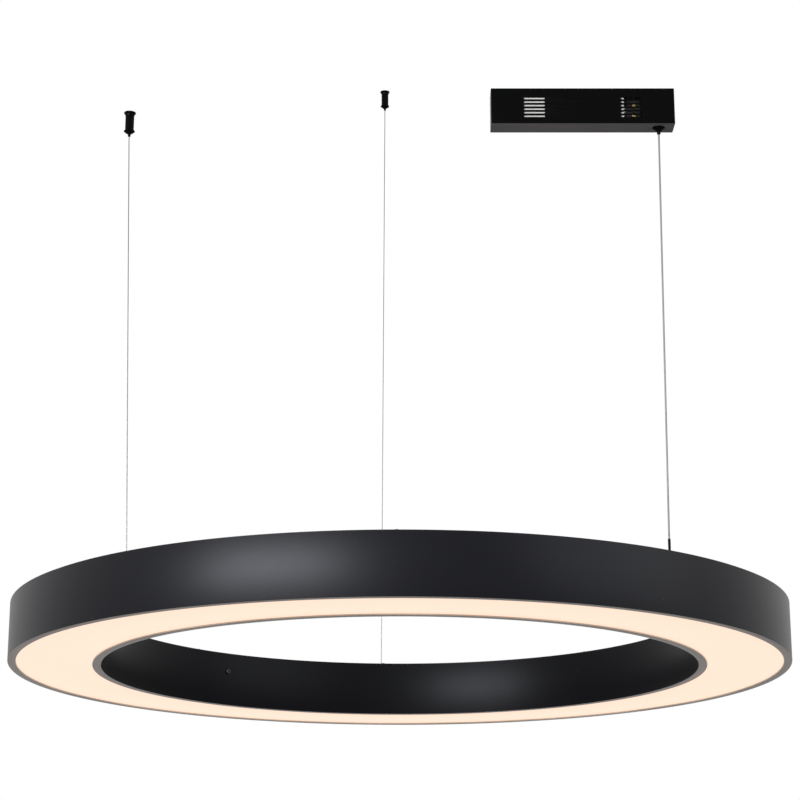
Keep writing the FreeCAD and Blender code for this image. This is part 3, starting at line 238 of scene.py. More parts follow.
class Shader(Tree):
    """A material under construction, with patterns on Object coordinates."""

    def __init__(self, name: str) -> None:
        """Starts a material with no nodes but its coordinates."""
        self.material = bpy.data.materials.new(name)
        self.material.use_nodes = True
        super().__init__(self.material.node_tree)
        self.tree.nodes.clear()
        self.place = self.node("ShaderNodeTexCoord").outputs["Object"]

    def noise(self, scale: float, detail: float = 2.0) -> Value:
        """Soft random unevenness.

        Args:
            scale: Waves in a metre.
            detail: How many finer layers it has.

        Returns:
            A value around one half.
        """
        node = self.node("ShaderNodeTexNoise", {"noise_dimensions": "3D"},
                         {"Vector": self.place, "Scale": scale, "Detail": detail})
        return Value(self, node.outputs[0])

    def cells(self, scale: float) -> tuple[Value, Value]:
        """Random cells.

        Args:
            scale: Cells in a metre.

        Returns:
            The distance from each cell's centre in cells, and a random number per cell.
        """
        node = self.node("ShaderNodeTexVoronoi", {"feature": "F1"},
                         {"Vector": self.place, "Scale": scale})
        return Value(self, node.outputs["Distance"]), self.split(node.outputs["Color"])[0]

    def blended(self, share: Term, first: Term, second: Term) -> bpy.types.NodeSocket:
        """A colour between two.

        Args:
            share: 0 for the first, 1 for the second.
            first: A colour.
            second: A colour.

        Returns:
            The colour's socket.
        """
        node = self.node("ShaderNodeMix", {"data_type": "RGBA", "clamp_factor": True},
                         {0: share, 6: first, 7: second})
        return node.outputs[2]

    def bump(self, height: Value, depth: float, strength: float = 1.0) -> bpy.types.NodeSocket:
        """Surface relief.

        Args:
            height: The relief, from 0 to 1.
            depth: The real depth that 1 stands for.
            strength: How much of it counts.

        Returns:
            The normal.
        """
        node = self.node("ShaderNodeBump", None,
                         {"Height": height, "Distance": depth, "Strength": strength})
        return node.outputs["Normal"]

    def finished(self, **sockets: Term) -> bpy.types.Material:
        """Ends the material in one Principled shader.

        Args:
            **sockets: Its inputs, with underscores for the spaces in their names.

        Returns:
            The material.
        """
        shader = self.node("ShaderNodeBsdfPrincipled", None,
                           {name.replace("_", " "): value for name, value in sockets.items()})
        self.node("ShaderNodeOutputMaterial", None, {"Surface": shader.outputs[0]})
        return self.material


@dataclass(frozen=True)
class PowderCoat:
    """Baked powder paint: a fine even grain, a little sparkle and a few light specks."""

    name: str
    colour: Colour = shade(0.0018, 0.0018, 0.0028)
    roughness: float = 0.38
    specular: float = 0.145
    sheen: Colour = shade(0.9, 0.92, 1.0)
    cloud_scale: float = 7.0
    cloud_gain: float = 1.35
    cloud_gloss: float = 0.06
    grain_scale: float = 900.0
    grain_depth: float = 0.00004
    grain_share: float = 0.6
    grain_gloss: float = 0.1
    sparkle_scale: float = 700.0
    sparkle_radius: float = 0.3
    sparkle_rarity: float = 0.94
    sparkle_share: float = 0.6
    sparkle_gain: float = 6.0
    speck_scale: float = 70.0
    speck_radius: float = 0.045
    speck_rarity: float = 0.8
    speck_gain: float = 22.0

    def material(self) -> bpy.types.Material:
        """Builds the paint."""
        shader = Shader(self.name)
        cloud = shader.noise(self.cloud_scale)
        grain = shader.noise(self.grain_scale)
        distance, luck = shader.cells(self.speck_scale)
        speck = (distance < self.speck_radius) * (luck > self.speck_rarity)
        near, glint = shader.cells(self.sparkle_scale)
        sparkle = (near < self.sparkle_radius) * (glint > self.sparkle_rarity)
        paint = shader.blended(cloud.between(*CLOUD_RANGE), self.colour,
                               scaled(self.colour, self.cloud_gain))
        sparkling = shader.blended(sparkle * self.sparkle_share, paint,
                                   scaled(self.colour, self.sparkle_gain))
        specked = shader.blended(speck, sparkling, scaled(self.colour, self.speck_gain))
        rough = (self.roughness + self.grain_gloss * (grain - 0.5)
                 + self.cloud_gloss * (cloud - 0.5))
        return shader.finished(Base_Color=specked, Roughness=rough,
                               Specular_IOR_Level=self.specular, Specular_Tint=self.sheen,
                               Normal=shader.bump(grain, self.grain_depth, self.grain_share))


@dataclass(frozen=True)
class OpalSheet:
    """Lit opal acrylic: warm white, a touch brighter along both of its edges."""

    name: str
    centre: tuple[float, float]
    inner: float = 0.3855
    outer: float = 0.4975
    base: Colour = shade(0.3, 0.26, 0.21)
    glow: Colour = shade(0.80, 0.58, 0.45)
    edge_glow: Colour = shade(0.84, 0.63, 0.5)
    edge_width: float = 0.012
    cloud_scale: float = 9.0
    cloud_share: float = 0.12
    roughness: float = 0.45
    specular: float = 0.3

    def material(self) -> bpy.types.Material:
        """Builds the opal look."""
        shader = Shader(self.name)
        x, y, _ = shader.split(shader.place)
        dx, dy = x - self.centre[0], y - self.centre[1]
        reach = (dx * dx + dy * dy).root()
        from_edge = ((self.inner - reach).greater(reach - self.outer)).between(
            -self.edge_width, 0.0)
        cloud = shader.noise(self.cloud_scale, 1.0)
        share = from_edge + self.cloud_share * (cloud - 0.5)
        return shader.finished(Base_Color=self.base, Roughness=self.roughness,
                               Specular_IOR_Level=self.specular,
                               Emission_Color=shader.blended(share, self.glow, self.edge_glow),
                               Emission_Strength=1.0)


@dataclass(frozen=True)
class BareMetal:
    """Plain or plated metal with a fine grain and slight stains in its gloss."""

    name: str
    colour: Colour
    roughness: float = 0.35
    grain_scale: float = 500.0
    grain_depth: float = 0.00001
    stain_scale: float = 45.0
    stain_range: tuple[float, float] = (0.35, 0.75)
    stain_gain: float = 0.8
    mottle: float = 0.12
    layers: float = 3.0

    def material(self) -> bpy.types.Material:
        """Builds the metal."""
        shader = Shader(self.name)
        grain = shader.noise(self.grain_scale, self.layers)
        stain = shader.noise(self.stain_scale, self.layers)
        colour = shader.blended(stain.between(*self.stain_range), self.colour,
                                scaled(self.colour, self.stain_gain))
        rough = self.roughness + self.mottle * (grain - 0.5) + self.mottle * (stain - 0.5)
        return shader.finished(Base_Color=colour, Roughness=rough, Metallic=1.0,
                               Normal=shader.bump(grain, self.grain_depth))


@dataclass(frozen=True)
class SpangledZinc:
    """Galvanised sheet with its crystal flakes."""

    name: str
    colour: Colour = shade(0.52, 0.54, 0.56)
    roughness: float = 0.3
    flake_scale: float = 160.0
    flake_gain: float = 0.72
    flake_gloss: float = 0.18
    grain_scale: float = 700.0
    grain_layers: float = 3.0
    grain_gloss: float = 0.08
    grain_depth: float = 0.00001

    def material(self) -> bpy.types.Material:
        """Builds the flaked zinc."""
        shader = Shader(self.name)
        _, flake = shader.cells(self.flake_scale)
        grain = shader.noise(self.grain_scale, self.grain_layers)
        colour = shader.blended(flake, self.colour, scaled(self.colour, self.flake_gain))
        rough = self.roughness + self.flake_gloss * flake + self.grain_gloss * (grain - 0.5)
        return shader.finished(Base_Color=colour, Roughness=rough, Metallic=1.0,
                               Normal=shader.bump(grain, self.grain_depth))


@dataclass(frozen=True)
class Moulded:
    """Moulded plastic or rubber with a fine eroded skin."""

    name: str
    colour: Colour
    roughness: float = 0.5
    specular: float = 0.4
    skin_scale: float = 1400.0
    skin_depth: float = 0.00002
    skin_gloss: float = 0.1
    cloud_scale: float = 30.0
    mottle: float = 0.12

    def material(self) -> bpy.types.Material:
        """Builds the plastic."""
        shader = Shader(self.name)
        skin = shader.noise(self.skin_scale)
        cloud = shader.noise(self.cloud_scale)
        colour = shader.blended(cloud.between(*CLOUD_RANGE), self.colour,
                                scaled(self.colour, 1 - self.mottle))
        return shader.finished(Base_Color=colour,
                               Roughness=self.roughness + self.skin_gloss * (skin - 0.5),
                               Specular_IOR_Level=self.specular,
                               Normal=shader.bump(skin, self.skin_depth))


@dataclass(frozen=True)
class BoardLacquer:
    """A circuit board's lacquer with paler patches over its copper."""

    name: str
    colour: Colour
    copper: Colour
    roughness: float = 0.35
    specular: float = 0.5
    track_scale: float = 260.0
    track_radius: float = 0.42
    track_rarity: float = 0.55
    track_share: float = 0.7
    track_gloss: float = 0.1
    track_depth: float = 0.00003

    def material(self) -> bpy.types.Material:
        """Builds the board."""
        shader = Shader(self.name)
        distance, luck = shader.cells(self.track_scale)
        track = (distance < self.track_radius) * (luck > self.track_rarity)
        colour = shader.blended(track * self.track_share, self.colour, self.copper)
        return shader.finished(Base_Color=colour,
                               Roughness=self.roughness + self.track_gloss * luck,
                               Specular_IOR_Level=self.specular,
                               Normal=shader.bump(track, self.track_depth))


@dataclass(frozen=True)
class Jacket:
    """A cable's smooth jacket with the lay of its braid showing faintly."""

    name: str
    colour: Colour
    shadow: Colour
    roughness: float = 0.32
    specular: float = 0.5
    lay: float = 0.004
    weave_scale: float = 1800.0
    weave_range: tuple[float, float] = (0.2, 0.9)
    weave_share: float = 0.5
    weave_gloss: float = 0.1
    weave_depth: float = 0.00003

    def material(self) -> bpy.types.Material:
        """Builds the jacket."""
        shader = Shader(self.name)
        x, y, z = shader.split(shader.place)
        turns = FULL_TURN / self.lay
        braid = ((z * turns + x * self.weave_scale).sine()
                 * (z * turns - y * self.weave_scale).sine())
        share = (braid * 0.5 + 0.5).between(*self.weave_range)
        colour = shader.blended(share * self.weave_share, self.colour, self.shadow)
        return shader.finished(Base_Color=colour,
                               Roughness=self.roughness + self.weave_gloss * share,
                               Specular_IOR_Level=self.specular,
                               Normal=shader.bump(share, self.weave_depth))


@dataclass(frozen=True)
class Corner:
    """One corner of a turned outline: radius, level, the rounding there and the section."""

    radius: float
    level: float
    fillet: float = 0.0
    section: Section = Section.ROUND

    @property
    def place(self) -> Vector:
        """The corner as a point in the outline's plane."""
        return Vector((self.radius, self.level))


def rounded(corners: Sequence[Corner], loop: bool) -> list[Corner]:
    """Rounds the corners of an outline.

    Args:
        corners: The outline's corners in order.
        loop: Whether the last corner joins the first.

    Returns:
        The corners of the rounded outline.
    """
    made = []
    for index, corner in enumerate(corners):
        inside = loop or 0 < index < len(corners) - 1
        if not corner.fillet or not inside:
            made.append(corner)
            continue
        here = corner.place
        back = corners[index - 1].place - here
        ahead = corners[(index + 1) % len(corners)].place - here
        half = back.angle(ahead) / 2
        reach = min(corner.fillet / math.tan(half), LONGEST_CUT * back.length,
                    LONGEST_CUT * ahead.length)
        bend = reach * math.tan(half)
        toward = (back.normalized() + ahead.normalized()).normalized()
        centre = here + toward * (bend / math.sin(half))
        first = here + back.normalized() * reach - centre
        last = here + ahead.normalized() * reach - centre
        start = math.atan2(first.y, first.x)
        turn = (math.atan2(last.y, last.x) - start + math.pi) % FULL_TURN - math.pi
        for k in range(ARCS + 1):
            angle = start + turn * k / ARCS
            made.append(Corner(centre.x + bend * math.cos(angle),
                               centre.y + bend * math.sin(angle), section=corner.section))
    return made


def bridged(work: bmesh.types.BMesh, rings: Sequence[Sequence[bmesh.types.BMVert]],
            loop: bool = False) -> None:
    """Joins rings of points by faces.

    Args:
        work: The mesh under construction.
        rings: The rings in order, all with as many points.
        loop: Whether the last ring joins the first; if not, both are capped.
    """
    for low, high in list(zip(rings, rings[1:])) + ([(rings[-1], rings[0])] if loop else []):
        for k in range(len(low)):
            after = (k + 1) % len(low)
            work.faces.new((low[k], low[after], high[after], high[k]))
    if not loop:
        work.faces.new(rings[0])
        work.faces.new(rings[-1])


def turned_mesh(name: str, corners: Sequence[Corner], loop: bool,
                count: int = 64) -> bpy.types.Mesh:
    """Turns an outline about the origin's upright axis.

    Args:
        name: The mesh's name.
        corners: The outline; an open one is capped at both ends.
        loop: Whether it closes on itself and leaves a bore.
        count: Facets round the axis.

    Returns:
        The closed mesh.
    """
    work = bmesh.new()
    rings = []
    for corner in corners:
        ring = []
        for k in range(count):
            turn = FULL_TURN * k / count
            reach = corner.radius
            if corner.section is Section.HEX:
                reach *= math.cos(HEX_PART / 2) / math.cos(turn % HEX_PART - HEX_PART / 2)
            ring.append(work.verts.new((reach * math.cos(turn), reach * math.sin(turn),
                                        corner.level)))
        rings.append(ring)
    bridged(work, rings, loop)
    return closed_up(work, name)


def stored(work: bmesh.types.BMesh, name: str) -> bpy.types.Mesh:
    """Turns the faces outwards and stores a mesh.

    Args:
        work: The mesh under construction, freed here.
        name: The mesh's name.

    Returns:
        The mesh.
    """
    bmesh.ops.recalc_face_normals(work, faces=work.faces)
    mesh = bpy.data.meshes.new(name)
    work.to_mesh(mesh)
    work.free()
    return mesh


def closed_up(work: bmesh.types.BMesh, name: str) -> bpy.types.Mesh:
    """Welds and stores a mesh.

    Args:
        work: The mesh under construction, freed here.
        name: The mesh's name.

    Returns:
        The mesh, shaded smooth but for its sharp edges.
    """
    bmesh.ops.remove_doubles(work, verts=work.verts, dist=WELD / 10)
    mesh = stored(work, name)
    smooth(mesh)
    return mesh


def smooth(mesh: bpy.types.Mesh) -> None:
    """Shades a mesh smooth and keeps its sharp edges."""
    mesh.polygons.foreach_set("use_smooth", [True] * len(mesh.polygons))
    mesh.set_sharp_from_angle(angle=SHARP_ANGLE)
    mesh.update()


def placed(name: str, data: bpy.types.ID) -> bpy.types.Object:
    """Links an object at the origin for a mesh, a curve, a camera or a lamp."""
    made = bpy.data.objects.new(name, data)
    bpy.context.scene.collection.objects.link(made)
    return made


def evaluated(piece: bpy.types.Object) -> None:
    """Turns an object's modifiers into its plain mesh.

    Args:
        piece: The object, whose modifiers are removed.
    """
    graph = bpy.context.evaluated_depsgraph_get()
    mesh = bpy.data.meshes.new_from_object(
        piece.evaluated_get(graph), preserve_all_data_layers=True, depsgraph=graph)
    piece.modifiers.clear()
    piece.data = mesh
    mesh.name = piece.name


def dressed(piece: bpy.types.Object, body: Body, slot: str, finishes: Sequence[bpy.types.Material],
            nodes: Iterable[str] = ()) -> bpy.types.Object:
    """Gives a piece its materials and its place in the frame.

    Args:
        piece: The finished piece.
        body: The body that it rides on.
        slot: The record's material slot.
        finishes: Its materials, the main one first.
        nodes: The CAD nodes that it stands for.

    Returns:
        The same piece.
    """
    piece.data.materials.clear()
    for finish in finishes:
        piece.data.materials.append(finish)
    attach(piece, body.value)
    if nodes:
        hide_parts(*nodes)
    LOG.info("%s rides on %s as %s", piece.name, body.value, slot)
    return piece


def bevelled(piece: bpy.types.Object, width: float, angle: float) -> None:
    """Adds the modifier that breaks an object's sharp edges.

    Args:
        piece: The object.
        width: The width of the broken edge.
        angle: The least angle of an edge that is broken.
    """
    bevel = piece.modifiers.new("edges", "BEVEL")
    bevel.width, bevel.segments = width, 2
    bevel.limit_method, bevel.angle_limit = "ANGLE", angle


def softened(node: str, width: float) -> bpy.types.Object:
    """A welded copy of a CAD node with its sharp edges broken.

    Args:
        node: The CAD node.
        width: The width of the broken edge, or zero to leave it sharp.

    Returns:
        The new object, named after the node.
    """
    work = bmesh.new()
    work.from_mesh(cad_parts[node].data)
    bmesh.ops.remove_doubles(work, verts=work.verts, dist=WELD)
    bmesh.ops.dissolve_limit(work, angle_limit=FLAT_ANGLE, verts=work.verts, edges=work.edges)
    mesh = bpy.data.meshes.new(f"{node}_look")
    work.to_mesh(mesh)
    work.free()
    piece = placed(f"{node}_look", mesh)
    if width:
        bevelled(piece, width, SOFTENED_ANGLE)
        evaluated(piece)
    smooth(piece.data)
    return piece


class GeometryTree(Tree):
    """A Geometry Nodes tree with named inputs for its sizes."""

    def __init__(self, name: str, sizes: Mapping[str, float | int]) -> None:
        """Starts a tree.

        Args:
            name: The tree's name.
            sizes: Its inputs, by name, with the values for this object.
        """
        tree = bpy.data.node_groups.new(name, "GeometryNodeTree")
        super().__init__(tree)
        self.sizes = dict(sizes)
        tree.interface.new_socket("Base", in_out="INPUT", socket_type="NodeSocketGeometry")
        tree.interface.new_socket("Shape", in_out="OUTPUT", socket_type="NodeSocketGeometry")
        for label, value in sizes.items():
            kind = "NodeSocketInt" if isinstance(value, int) else "NodeSocketFloat"
            tree.interface.new_socket(label, in_out="INPUT", socket_type=kind)
        self.entry = self.node("NodeGroupInput")

    def size(self, label: str) -> Value:
        """A named input."""
        return Value(self, self.entry.outputs[label])

    def shape(self, name: str, geometry: bpy.types.NodeSocket, finish: bpy.types.Material,
              base: bpy.types.Mesh | None = None) -> bpy.types.Object:
        """Ends the tree, runs it and turns the result into a plain mesh.

        Args:
            name: The piece's name.
            geometry: The output that carries the shape.
            finish: The material that the tree sets.
            base: The mesh that the tree starts from, if it needs one.

        Returns:
            The piece, at the origin.
        """
        real = self.node("GeometryNodeRealizeInstances", None, {0: geometry})
        painted = self.node("GeometryNodeSetMaterial", None,
                            {"Geometry": real.outputs[0], "Material": finish})
        self.node("NodeGroupOutput", None, {0: painted.outputs[0]})
        piece = placed(name, base or bpy.data.meshes.new(name))
        modifier = piece.modifiers.new("shape", "NODES")
        modifier.node_group = self.tree
        for item in self.tree.interface.items_tree:
            if item.in_out == "INPUT" and item.name in self.sizes:
                modifier[item.identifier] = self.sizes[item.name]
        evaluated(piece)
        return piece


@dataclass(frozen=True)
class Spot:
    """Where one of several alike pieces goes: its place and its turn about X, Y and Z."""

    place: Vector
    turn: tuple[float, float, float] = (0.0, 0.0, 0.0)


def repeated(name: str, pattern: bpy.types.Mesh, spots: Sequence[Spot],
             finish: bpy.types.Material, spread: float = 0.0) -> bpy.types.Object:
    """Sets one shape on many spots with Geometry Nodes.

    Args:
        name: The piece's name.
        pattern: The shape, made about the origin.
        spots: Where the copies go.
        finish: Their material.
        spread: The most that a copy is turned about its own axis, at random.

    Returns:
        One mesh with all the copies, as separate solids.
    """
    base = bpy.data.meshes.new(name)
    base.from_pydata([spot.place for spot in spots], [], [])
    aim = base.attributes.new("aim", "FLOAT_VECTOR", "POINT")
    aim.data.foreach_set("vector", [angle for spot in spots for angle in spot.turn])
    sample = placed(f"{name}_pattern", pattern)
    tree = GeometryTree(f"{name}_repeat", {"Size": 1.0, "Spread": spread, "Seed": SEED})
    source = tree.node("GeometryNodeObjectInfo", None, {"Object": sample, "As Instance": True})
    aimed = tree.node("GeometryNodeInputNamedAttribute", {"data_type": "FLOAT_VECTOR"},
                      {"Name": "aim"})
    chance = tree.node("FunctionNodeRandomValue", {"data_type": "FLOAT"},
                       {2: 0.0, 3: tree.size("Spread"), "Seed": tree.size("Seed")})
    spin = tree.node("FunctionNodeEulerToRotation", None,
                     {0: tree.joined(0.0, 0.0, Value(tree, chance.outputs[1]))})
    facing = tree.node("FunctionNodeEulerToRotation", None, {0: aimed.outputs[0]})
    both = tree.node("FunctionNodeRotateRotation", {"rotation_space": "LOCAL"},
                     {0: facing.outputs[0], 1: spin.outputs[0]})
    size = tree.size("Size")
    copies = tree.node(
        "GeometryNodeInstanceOnPoints", None,
        {"Points": tree.entry.outputs["Base"], "Instance": source.outputs["Geometry"],
         "Rotation": both.outputs[0], "Scale": tree.joined(size, size, size)})
    piece = tree.shape(name, copies.outputs[0], finish, base)
    bpy.data.objects.remove(sample)
    smooth(piece.data)
    return piece


def swept_round(name: str, corners: Sequence[tuple[Value, Value]], tree: GeometryTree,
                finish: bpy.types.Material) -> bpy.types.Object:
    """Sweeps an outline round the ring's axis with Geometry Nodes.

    Args:
        name: The piece's name.
        corners: The outline's corners as radius and level, worked out in the tree.
        tree: The tree, with inputs Centre X, Centre Y, Path radius, Facets and Edge.
        finish: The piece's material.

    Returns:
        The closed ring.
    """
    line = tree.node("GeometryNodeMeshLine", None, {"Count": len(corners)})
    switch = tree.node("GeometryNodeIndexSwitch", {"data_type": "VECTOR"})
    while len(switch.index_switch_items) < len(corners):
        switch.index_switch_items.new()
    tree.feed(switch.inputs["Index"], tree.node("GeometryNodeInputIndex").outputs[0])
    for place, (radius, level) in enumerate(corners):
        point = tree.joined(radius - tree.size("Path radius"), 0.0 - level, 0.0)
        tree.feed(switch.inputs[place + 1], point)
    outline = tree.node("GeometryNodeSetPosition", None,
                        {"Geometry": line.outputs[0], "Position": switch.outputs[0]})
    thread = tree.node("GeometryNodeMeshToCurve", None, {0: outline.outputs[0]})
    looped = tree.node("GeometryNodeSetSplineCyclic", None,
                       {"Geometry": thread.outputs[0], "Cyclic": True})
    soft = tree.node("GeometryNodeFilletCurve", {"mode": "POLY"},
                     {"Curve": looped.outputs[0], "Radius": tree.size("Edge"),
                      "Limit Radius": True, "Count": ARCS})
    circle = tree.node("GeometryNodeCurvePrimitiveCircle", {"mode": "RADIUS"},
                       {"Resolution": tree.size("Facets"), "Radius": tree.size("Path radius")})
    swept = tree.node("GeometryNodeCurveToMesh", None,
                      {"Curve": circle.outputs[0], "Profile Curve": soft.outputs[0],
                       "Fill Caps": False})
    moved = tree.node(
        "GeometryNodeTransform", None,
        {"Geometry": swept.outputs[0],
         "Translation": tree.joined(tree.size("Centre X"), tree.size("Centre Y"), 0.0)})
    piece = tree.shape(name, moved.outputs[0], finish)
    work = bmesh.new()
    work.from_mesh(piece.data)
    piece.data = closed_up(work, name)
    return piece


@dataclass(frozen=True)
class PanHead:
    """A pan-head screw with a six-sided socket; from tip on, shares of its sizes."""

    radius: float
    height: float
    shank: float
    length: float
    socket: float
    depth: float
    tip: float = 0.6
    tip_slope: float = 0.4
    rim: float = 0.08
    crown: float = 0.7
    mouth: float = 1.16
    mouth_rim: float = 0.06
    mouth_slope: float = 0.12
    facets: int = 48

    def mesh(self, name: str) -> bpy.types.Mesh:
        """Makes the screw, its head up and its seat at the origin."""
        high, socket = self.height, self.socket
        corners = rounded([
            Corner(self.shank * self.tip, -self.length),
            Corner(self.shank, -self.length + self.shank * self.tip_slope),
            Corner(self.shank, 0.0), Corner(self.radius, 0.0, self.radius * self.rim),
            Corner(self.radius, high, high * self.crown),
            Corner(socket * self.mouth, high, high * self.mouth_rim),
            Corner(socket, high - self.depth * self.mouth_slope, 0.0, Section.HEX),
            Corner(socket, high - self.depth, 0.0, Section.HEX)], loop=False)
        return turned_mesh(name, corners, loop=False, count=self.facets)


def route(name: str, points: Sequence[Vector], steps: int = 48) -> list[Vector]:
    """Reads points from the smooth line through a cord's route.

    Args:
        name: A name for the line.
        points: The route's control points.
        steps: Points in each of its spans.

    Returns:
        The points along the line.
    """
    curve = bpy.data.curves.new(name, "CURVE")
    curve.dimensions = "3D"
    curve.resolution_u = steps
    spline = curve.splines.new("NURBS")
    spline.points.add(len(points) - 1)
    for control, point in zip(spline.points, points):
        control.co = (*point, 1.0)
    spline.order_u = 3
    spline.use_endpoint_u = True
    holder = placed(name, curve)
    mesh = bpy.data.meshes.new_from_object(holder)
    line = [vertex.co.copy() for vertex in mesh.vertices]
    bpy.data.objects.remove(holder)
    bpy.data.meshes.remove(mesh)
    return line


def evenly(line: Sequence[Vector], step: float) -> list[Vector]:
    """Points a steady step apart along a line, its ends included.

    Args:
        line: The line's points.
        step: About how far apart the new points lie.

    Returns:
        The new points.
    """
    marks = [0.0]
    for before, after in zip(line, line[1:]):
        marks.append(marks[-1] + (after - before).length)
    count = max(2, round(marks[-1] / step))
    made, index = [], 0
    for k in range(count + 1):
        target = marks[-1] * k / count
        while index < len(marks) - 2 and marks[index + 1] < target:
            index += 1
        span = marks[index + 1] - marks[index]
        share = (target - marks[index]) / span if span else 0.0
        made.append(line[index].lerp(line[index + 1], min(1.0, share)))
    return made


def tube_mesh(name: str, line: Sequence[Vector], outline: Callable[[float, float], float],
              count: int, start: float) -> bpy.types.Mesh:
    """A closed tube along a line.

    Args:
        name: The mesh's name.
        line: The points that the tube follows.
        outline: Its radius, from the turn round it and the distance along it.
        count: Facets round it.
        start: The distance at its first point.

    Returns:
        The tube's mesh.
    """
    work = bmesh.new()
    side = Vector((1.0, 0.0, 0.0))
    rings, distance = [], start
    for index, point in enumerate(line):
        before, after = line[max(0, index - 1)], line[min(len(line) - 1, index + 1)]
        along = (after - before).normalized()
        side = (side - along * side.dot(along)).normalized()
        other = along.cross(side)
        if index:
            distance += (point - line[index - 1]).length
        ring = []
        for k in range(count):
            turn = FULL_TURN * k / count
            reach = outline(turn, distance)
            ring.append(work.verts.new(point + side * (reach * math.cos(turn))
                                       + other * (reach * math.sin(turn))))
        rings.append(ring)
    bridged(work, rings)
    mesh = stored(work, name)
    mesh.polygons.foreach_set("use_smooth", [True] * len(mesh.polygons))
    return mesh


def middle_of(node: str) -> Vector:
    """The middle of a CAD node's box."""
    low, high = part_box(node)
    return (low + high) / 2


@dataclass
class RingBody:
    """The hoops, the top plate with its screws, and the opal sheet."""

    finishes: Palette
    centre: Vector
    bottom: float
    radius: float = 0.5
    hole: float = 0.383
    height: float = 0.073
    sheet: float = 0.0015
    outer_lip: float = 0.0105
    inner_lip: float = 0.011
    flange: float = 0.015
    edge: float = 0.0005
    hoop_softness: float = 0.9
    plate_softness: float = 0.6
    diffuser_softness: float = 0.8
    plate_inset: float = 0.0035
    diffuser_sheet: float = 0.003
    diffuser_gap: float = 0.001
    screw_inset: float = 0.009
    plate_screw: PanHead = PanHead(radius=0.0028, height=0.001, shank=0.0015, length=0.008,
                                   socket=0.00115, depth=0.0007)
    seam_screw: PanHead = PanHead(radius=0.0037, height=0.0024, shank=0.002, length=0.006,
                                  socket=0.00115, depth=0.0012)
    facets: int = 720
    rib_angles: tuple[float, ...] = (93.6, 223.6, 315.6)
    rib_step_most: float = 50.0
    seam_angle: float = 129.8
    seam_level: float = 0.0476

    @property
    def top(self) -> float:
        """The level of the hoops' top."""
        return self.bottom + self.height

    def tree(self, name: str, **sizes: float) -> GeometryTree:
        """A sweep tree with the ring's common inputs.

        Args:
            name: The tree's name.
            **sizes: More inputs, with underscores for spaces.

        Returns:
            The tree.
        """
        named = {label.replace("_", " "): value for label, value in sizes.items()}
        return GeometryTree(name, {
            "Centre X": self.centre.x, "Centre Y": self.centre.y, "Bottom": self.bottom,
            "Path radius": (self.radius + self.hole) / 2, "Facets": self.facets, **named})

    def hoop(self, name: str, wall: float, lip: float, inward: int) -> None:
        """Makes a channel-shaped hoop: wall, lip below and flange on top.

        Args:
            name: The CAD node that it stands for.
            wall: The radius of the wall's face that shows.
            lip: The lip's width.
            inward: -1 if lip and flange point to the axis, 1 if away from it.
        """
        tree = self.tree(f"{name}_sweep", Wall=wall, Lip=inward * lip,
                         Flange=inward * self.flange, Sheet=self.sheet, Height=self.height,
                         Inside=inward * self.sheet, Edge=self.edge * self.hoop_softness)
        face, inside = tree.size("Wall"), tree.size("Wall") + tree.size("Inside")
        low, high = tree.size("Bottom"), tree.size("Bottom") + tree.size("Height")
        lip_end, flange_end = face + tree.size("Lip"), face + tree.size("Flange")
        sheet = tree.size("Sheet")
        corners = [(lip_end, low), (face, low), (face, high), (flange_end, high),
                   (flange_end, high - sheet), (inside, high - sheet), (inside, low + sheet),
                   (lip_end, low + sheet)]
        # The inner hoop takes a darker, less glossy copy of the coat: painted shade for the dimmer
        # light inside the ring.
        coat = self.finishes["ring_coat" if inward < 0 else "ring_inner_coat"]
        piece = swept_round(f"{name}_look", corners, tree, coat)
        dressed(piece, Body.RING, "ring_coat",
                [coat, self.finishes["ring_lip"], self.finishes["ring_lip_rim"]], [name])
        # The lips' bottom faces take a paler, warm copy of the coat, and the lips' inner edges a
        # paler one still: painted glow from the lit sheet beside them and painted reflection of the
        # floor below.
        for face in piece.data.polygons:
            reach = (face.center.xy - self.centre.xy).length
            if abs(reach - wall - inward * lip) < self.edge:
                face.material_index = 2
            elif face.center.z < self.bottom + self.edge / 4:
                face.material_index = 1

    def flat_ring(self, name: str, inset: float, low: float, thick: float, softness: float,
                  finish: bpy.types.Material) -> bpy.types.Object:
        """A flat ring of sheet.

        Args:
            name: The piece's name.
            inset: How far its edges lie inside the ring's walls.
            low: Its lower level.
            thick: Its thickness.
            softness: The rounding of its edges, as a share of the ring's.
            finish: Its material.

        Returns:
            The ring.
        """
        tree = self.tree(f"{name}_sweep", Inner=self.hole + inset, Outer=self.radius - inset,
                         Low=low, High=low + thick, Edge=self.edge * softness)
        near, far, under, over = (tree.size(label) for label in ("Inner", "Outer", "Low", "High"))
        corners = [(near, under), (far, under), (far, over), (near, over)]
        return swept_round(name, corners, tree, finish)

    def all_rib_angles(self) -> list[float]:
        """The angles of the ribs, the hanging ones and those between them, in degrees."""
        hung, angles = list(self.rib_angles), list(self.rib_angles)
        for start, end in zip(hung, hung[1:] + [hung[0] + 360.0]):
            steps = math.ceil((end - start) / self.rib_step_most)
            angles += [start + (end - start) * k / steps for k in range(1, steps)]
        return angles

    def at(self, angle: float, radius: float, level: float) -> Vector:
        """A place by its angle in degrees, radius and level."""
        turn = math.radians(angle)
        return self.centre + Vector((radius * math.cos(turn), radius * math.sin(turn), level))

    def screws(self, node: str, screw: PanHead, spots: Sequence[Spot]) -> None:
        """Makes one kind of screws.

        Args:
            node: The CAD node that they stand for.
            screw: Their shape.
            spots: Where they go.
        """
        steel = self.finishes["black_steel"]
        made = repeated(f"{node}_look", screw.mesh(node), spots, steel, HEX_PART)
        dressed(made, Body.RING, "black_screws", [steel], [node])

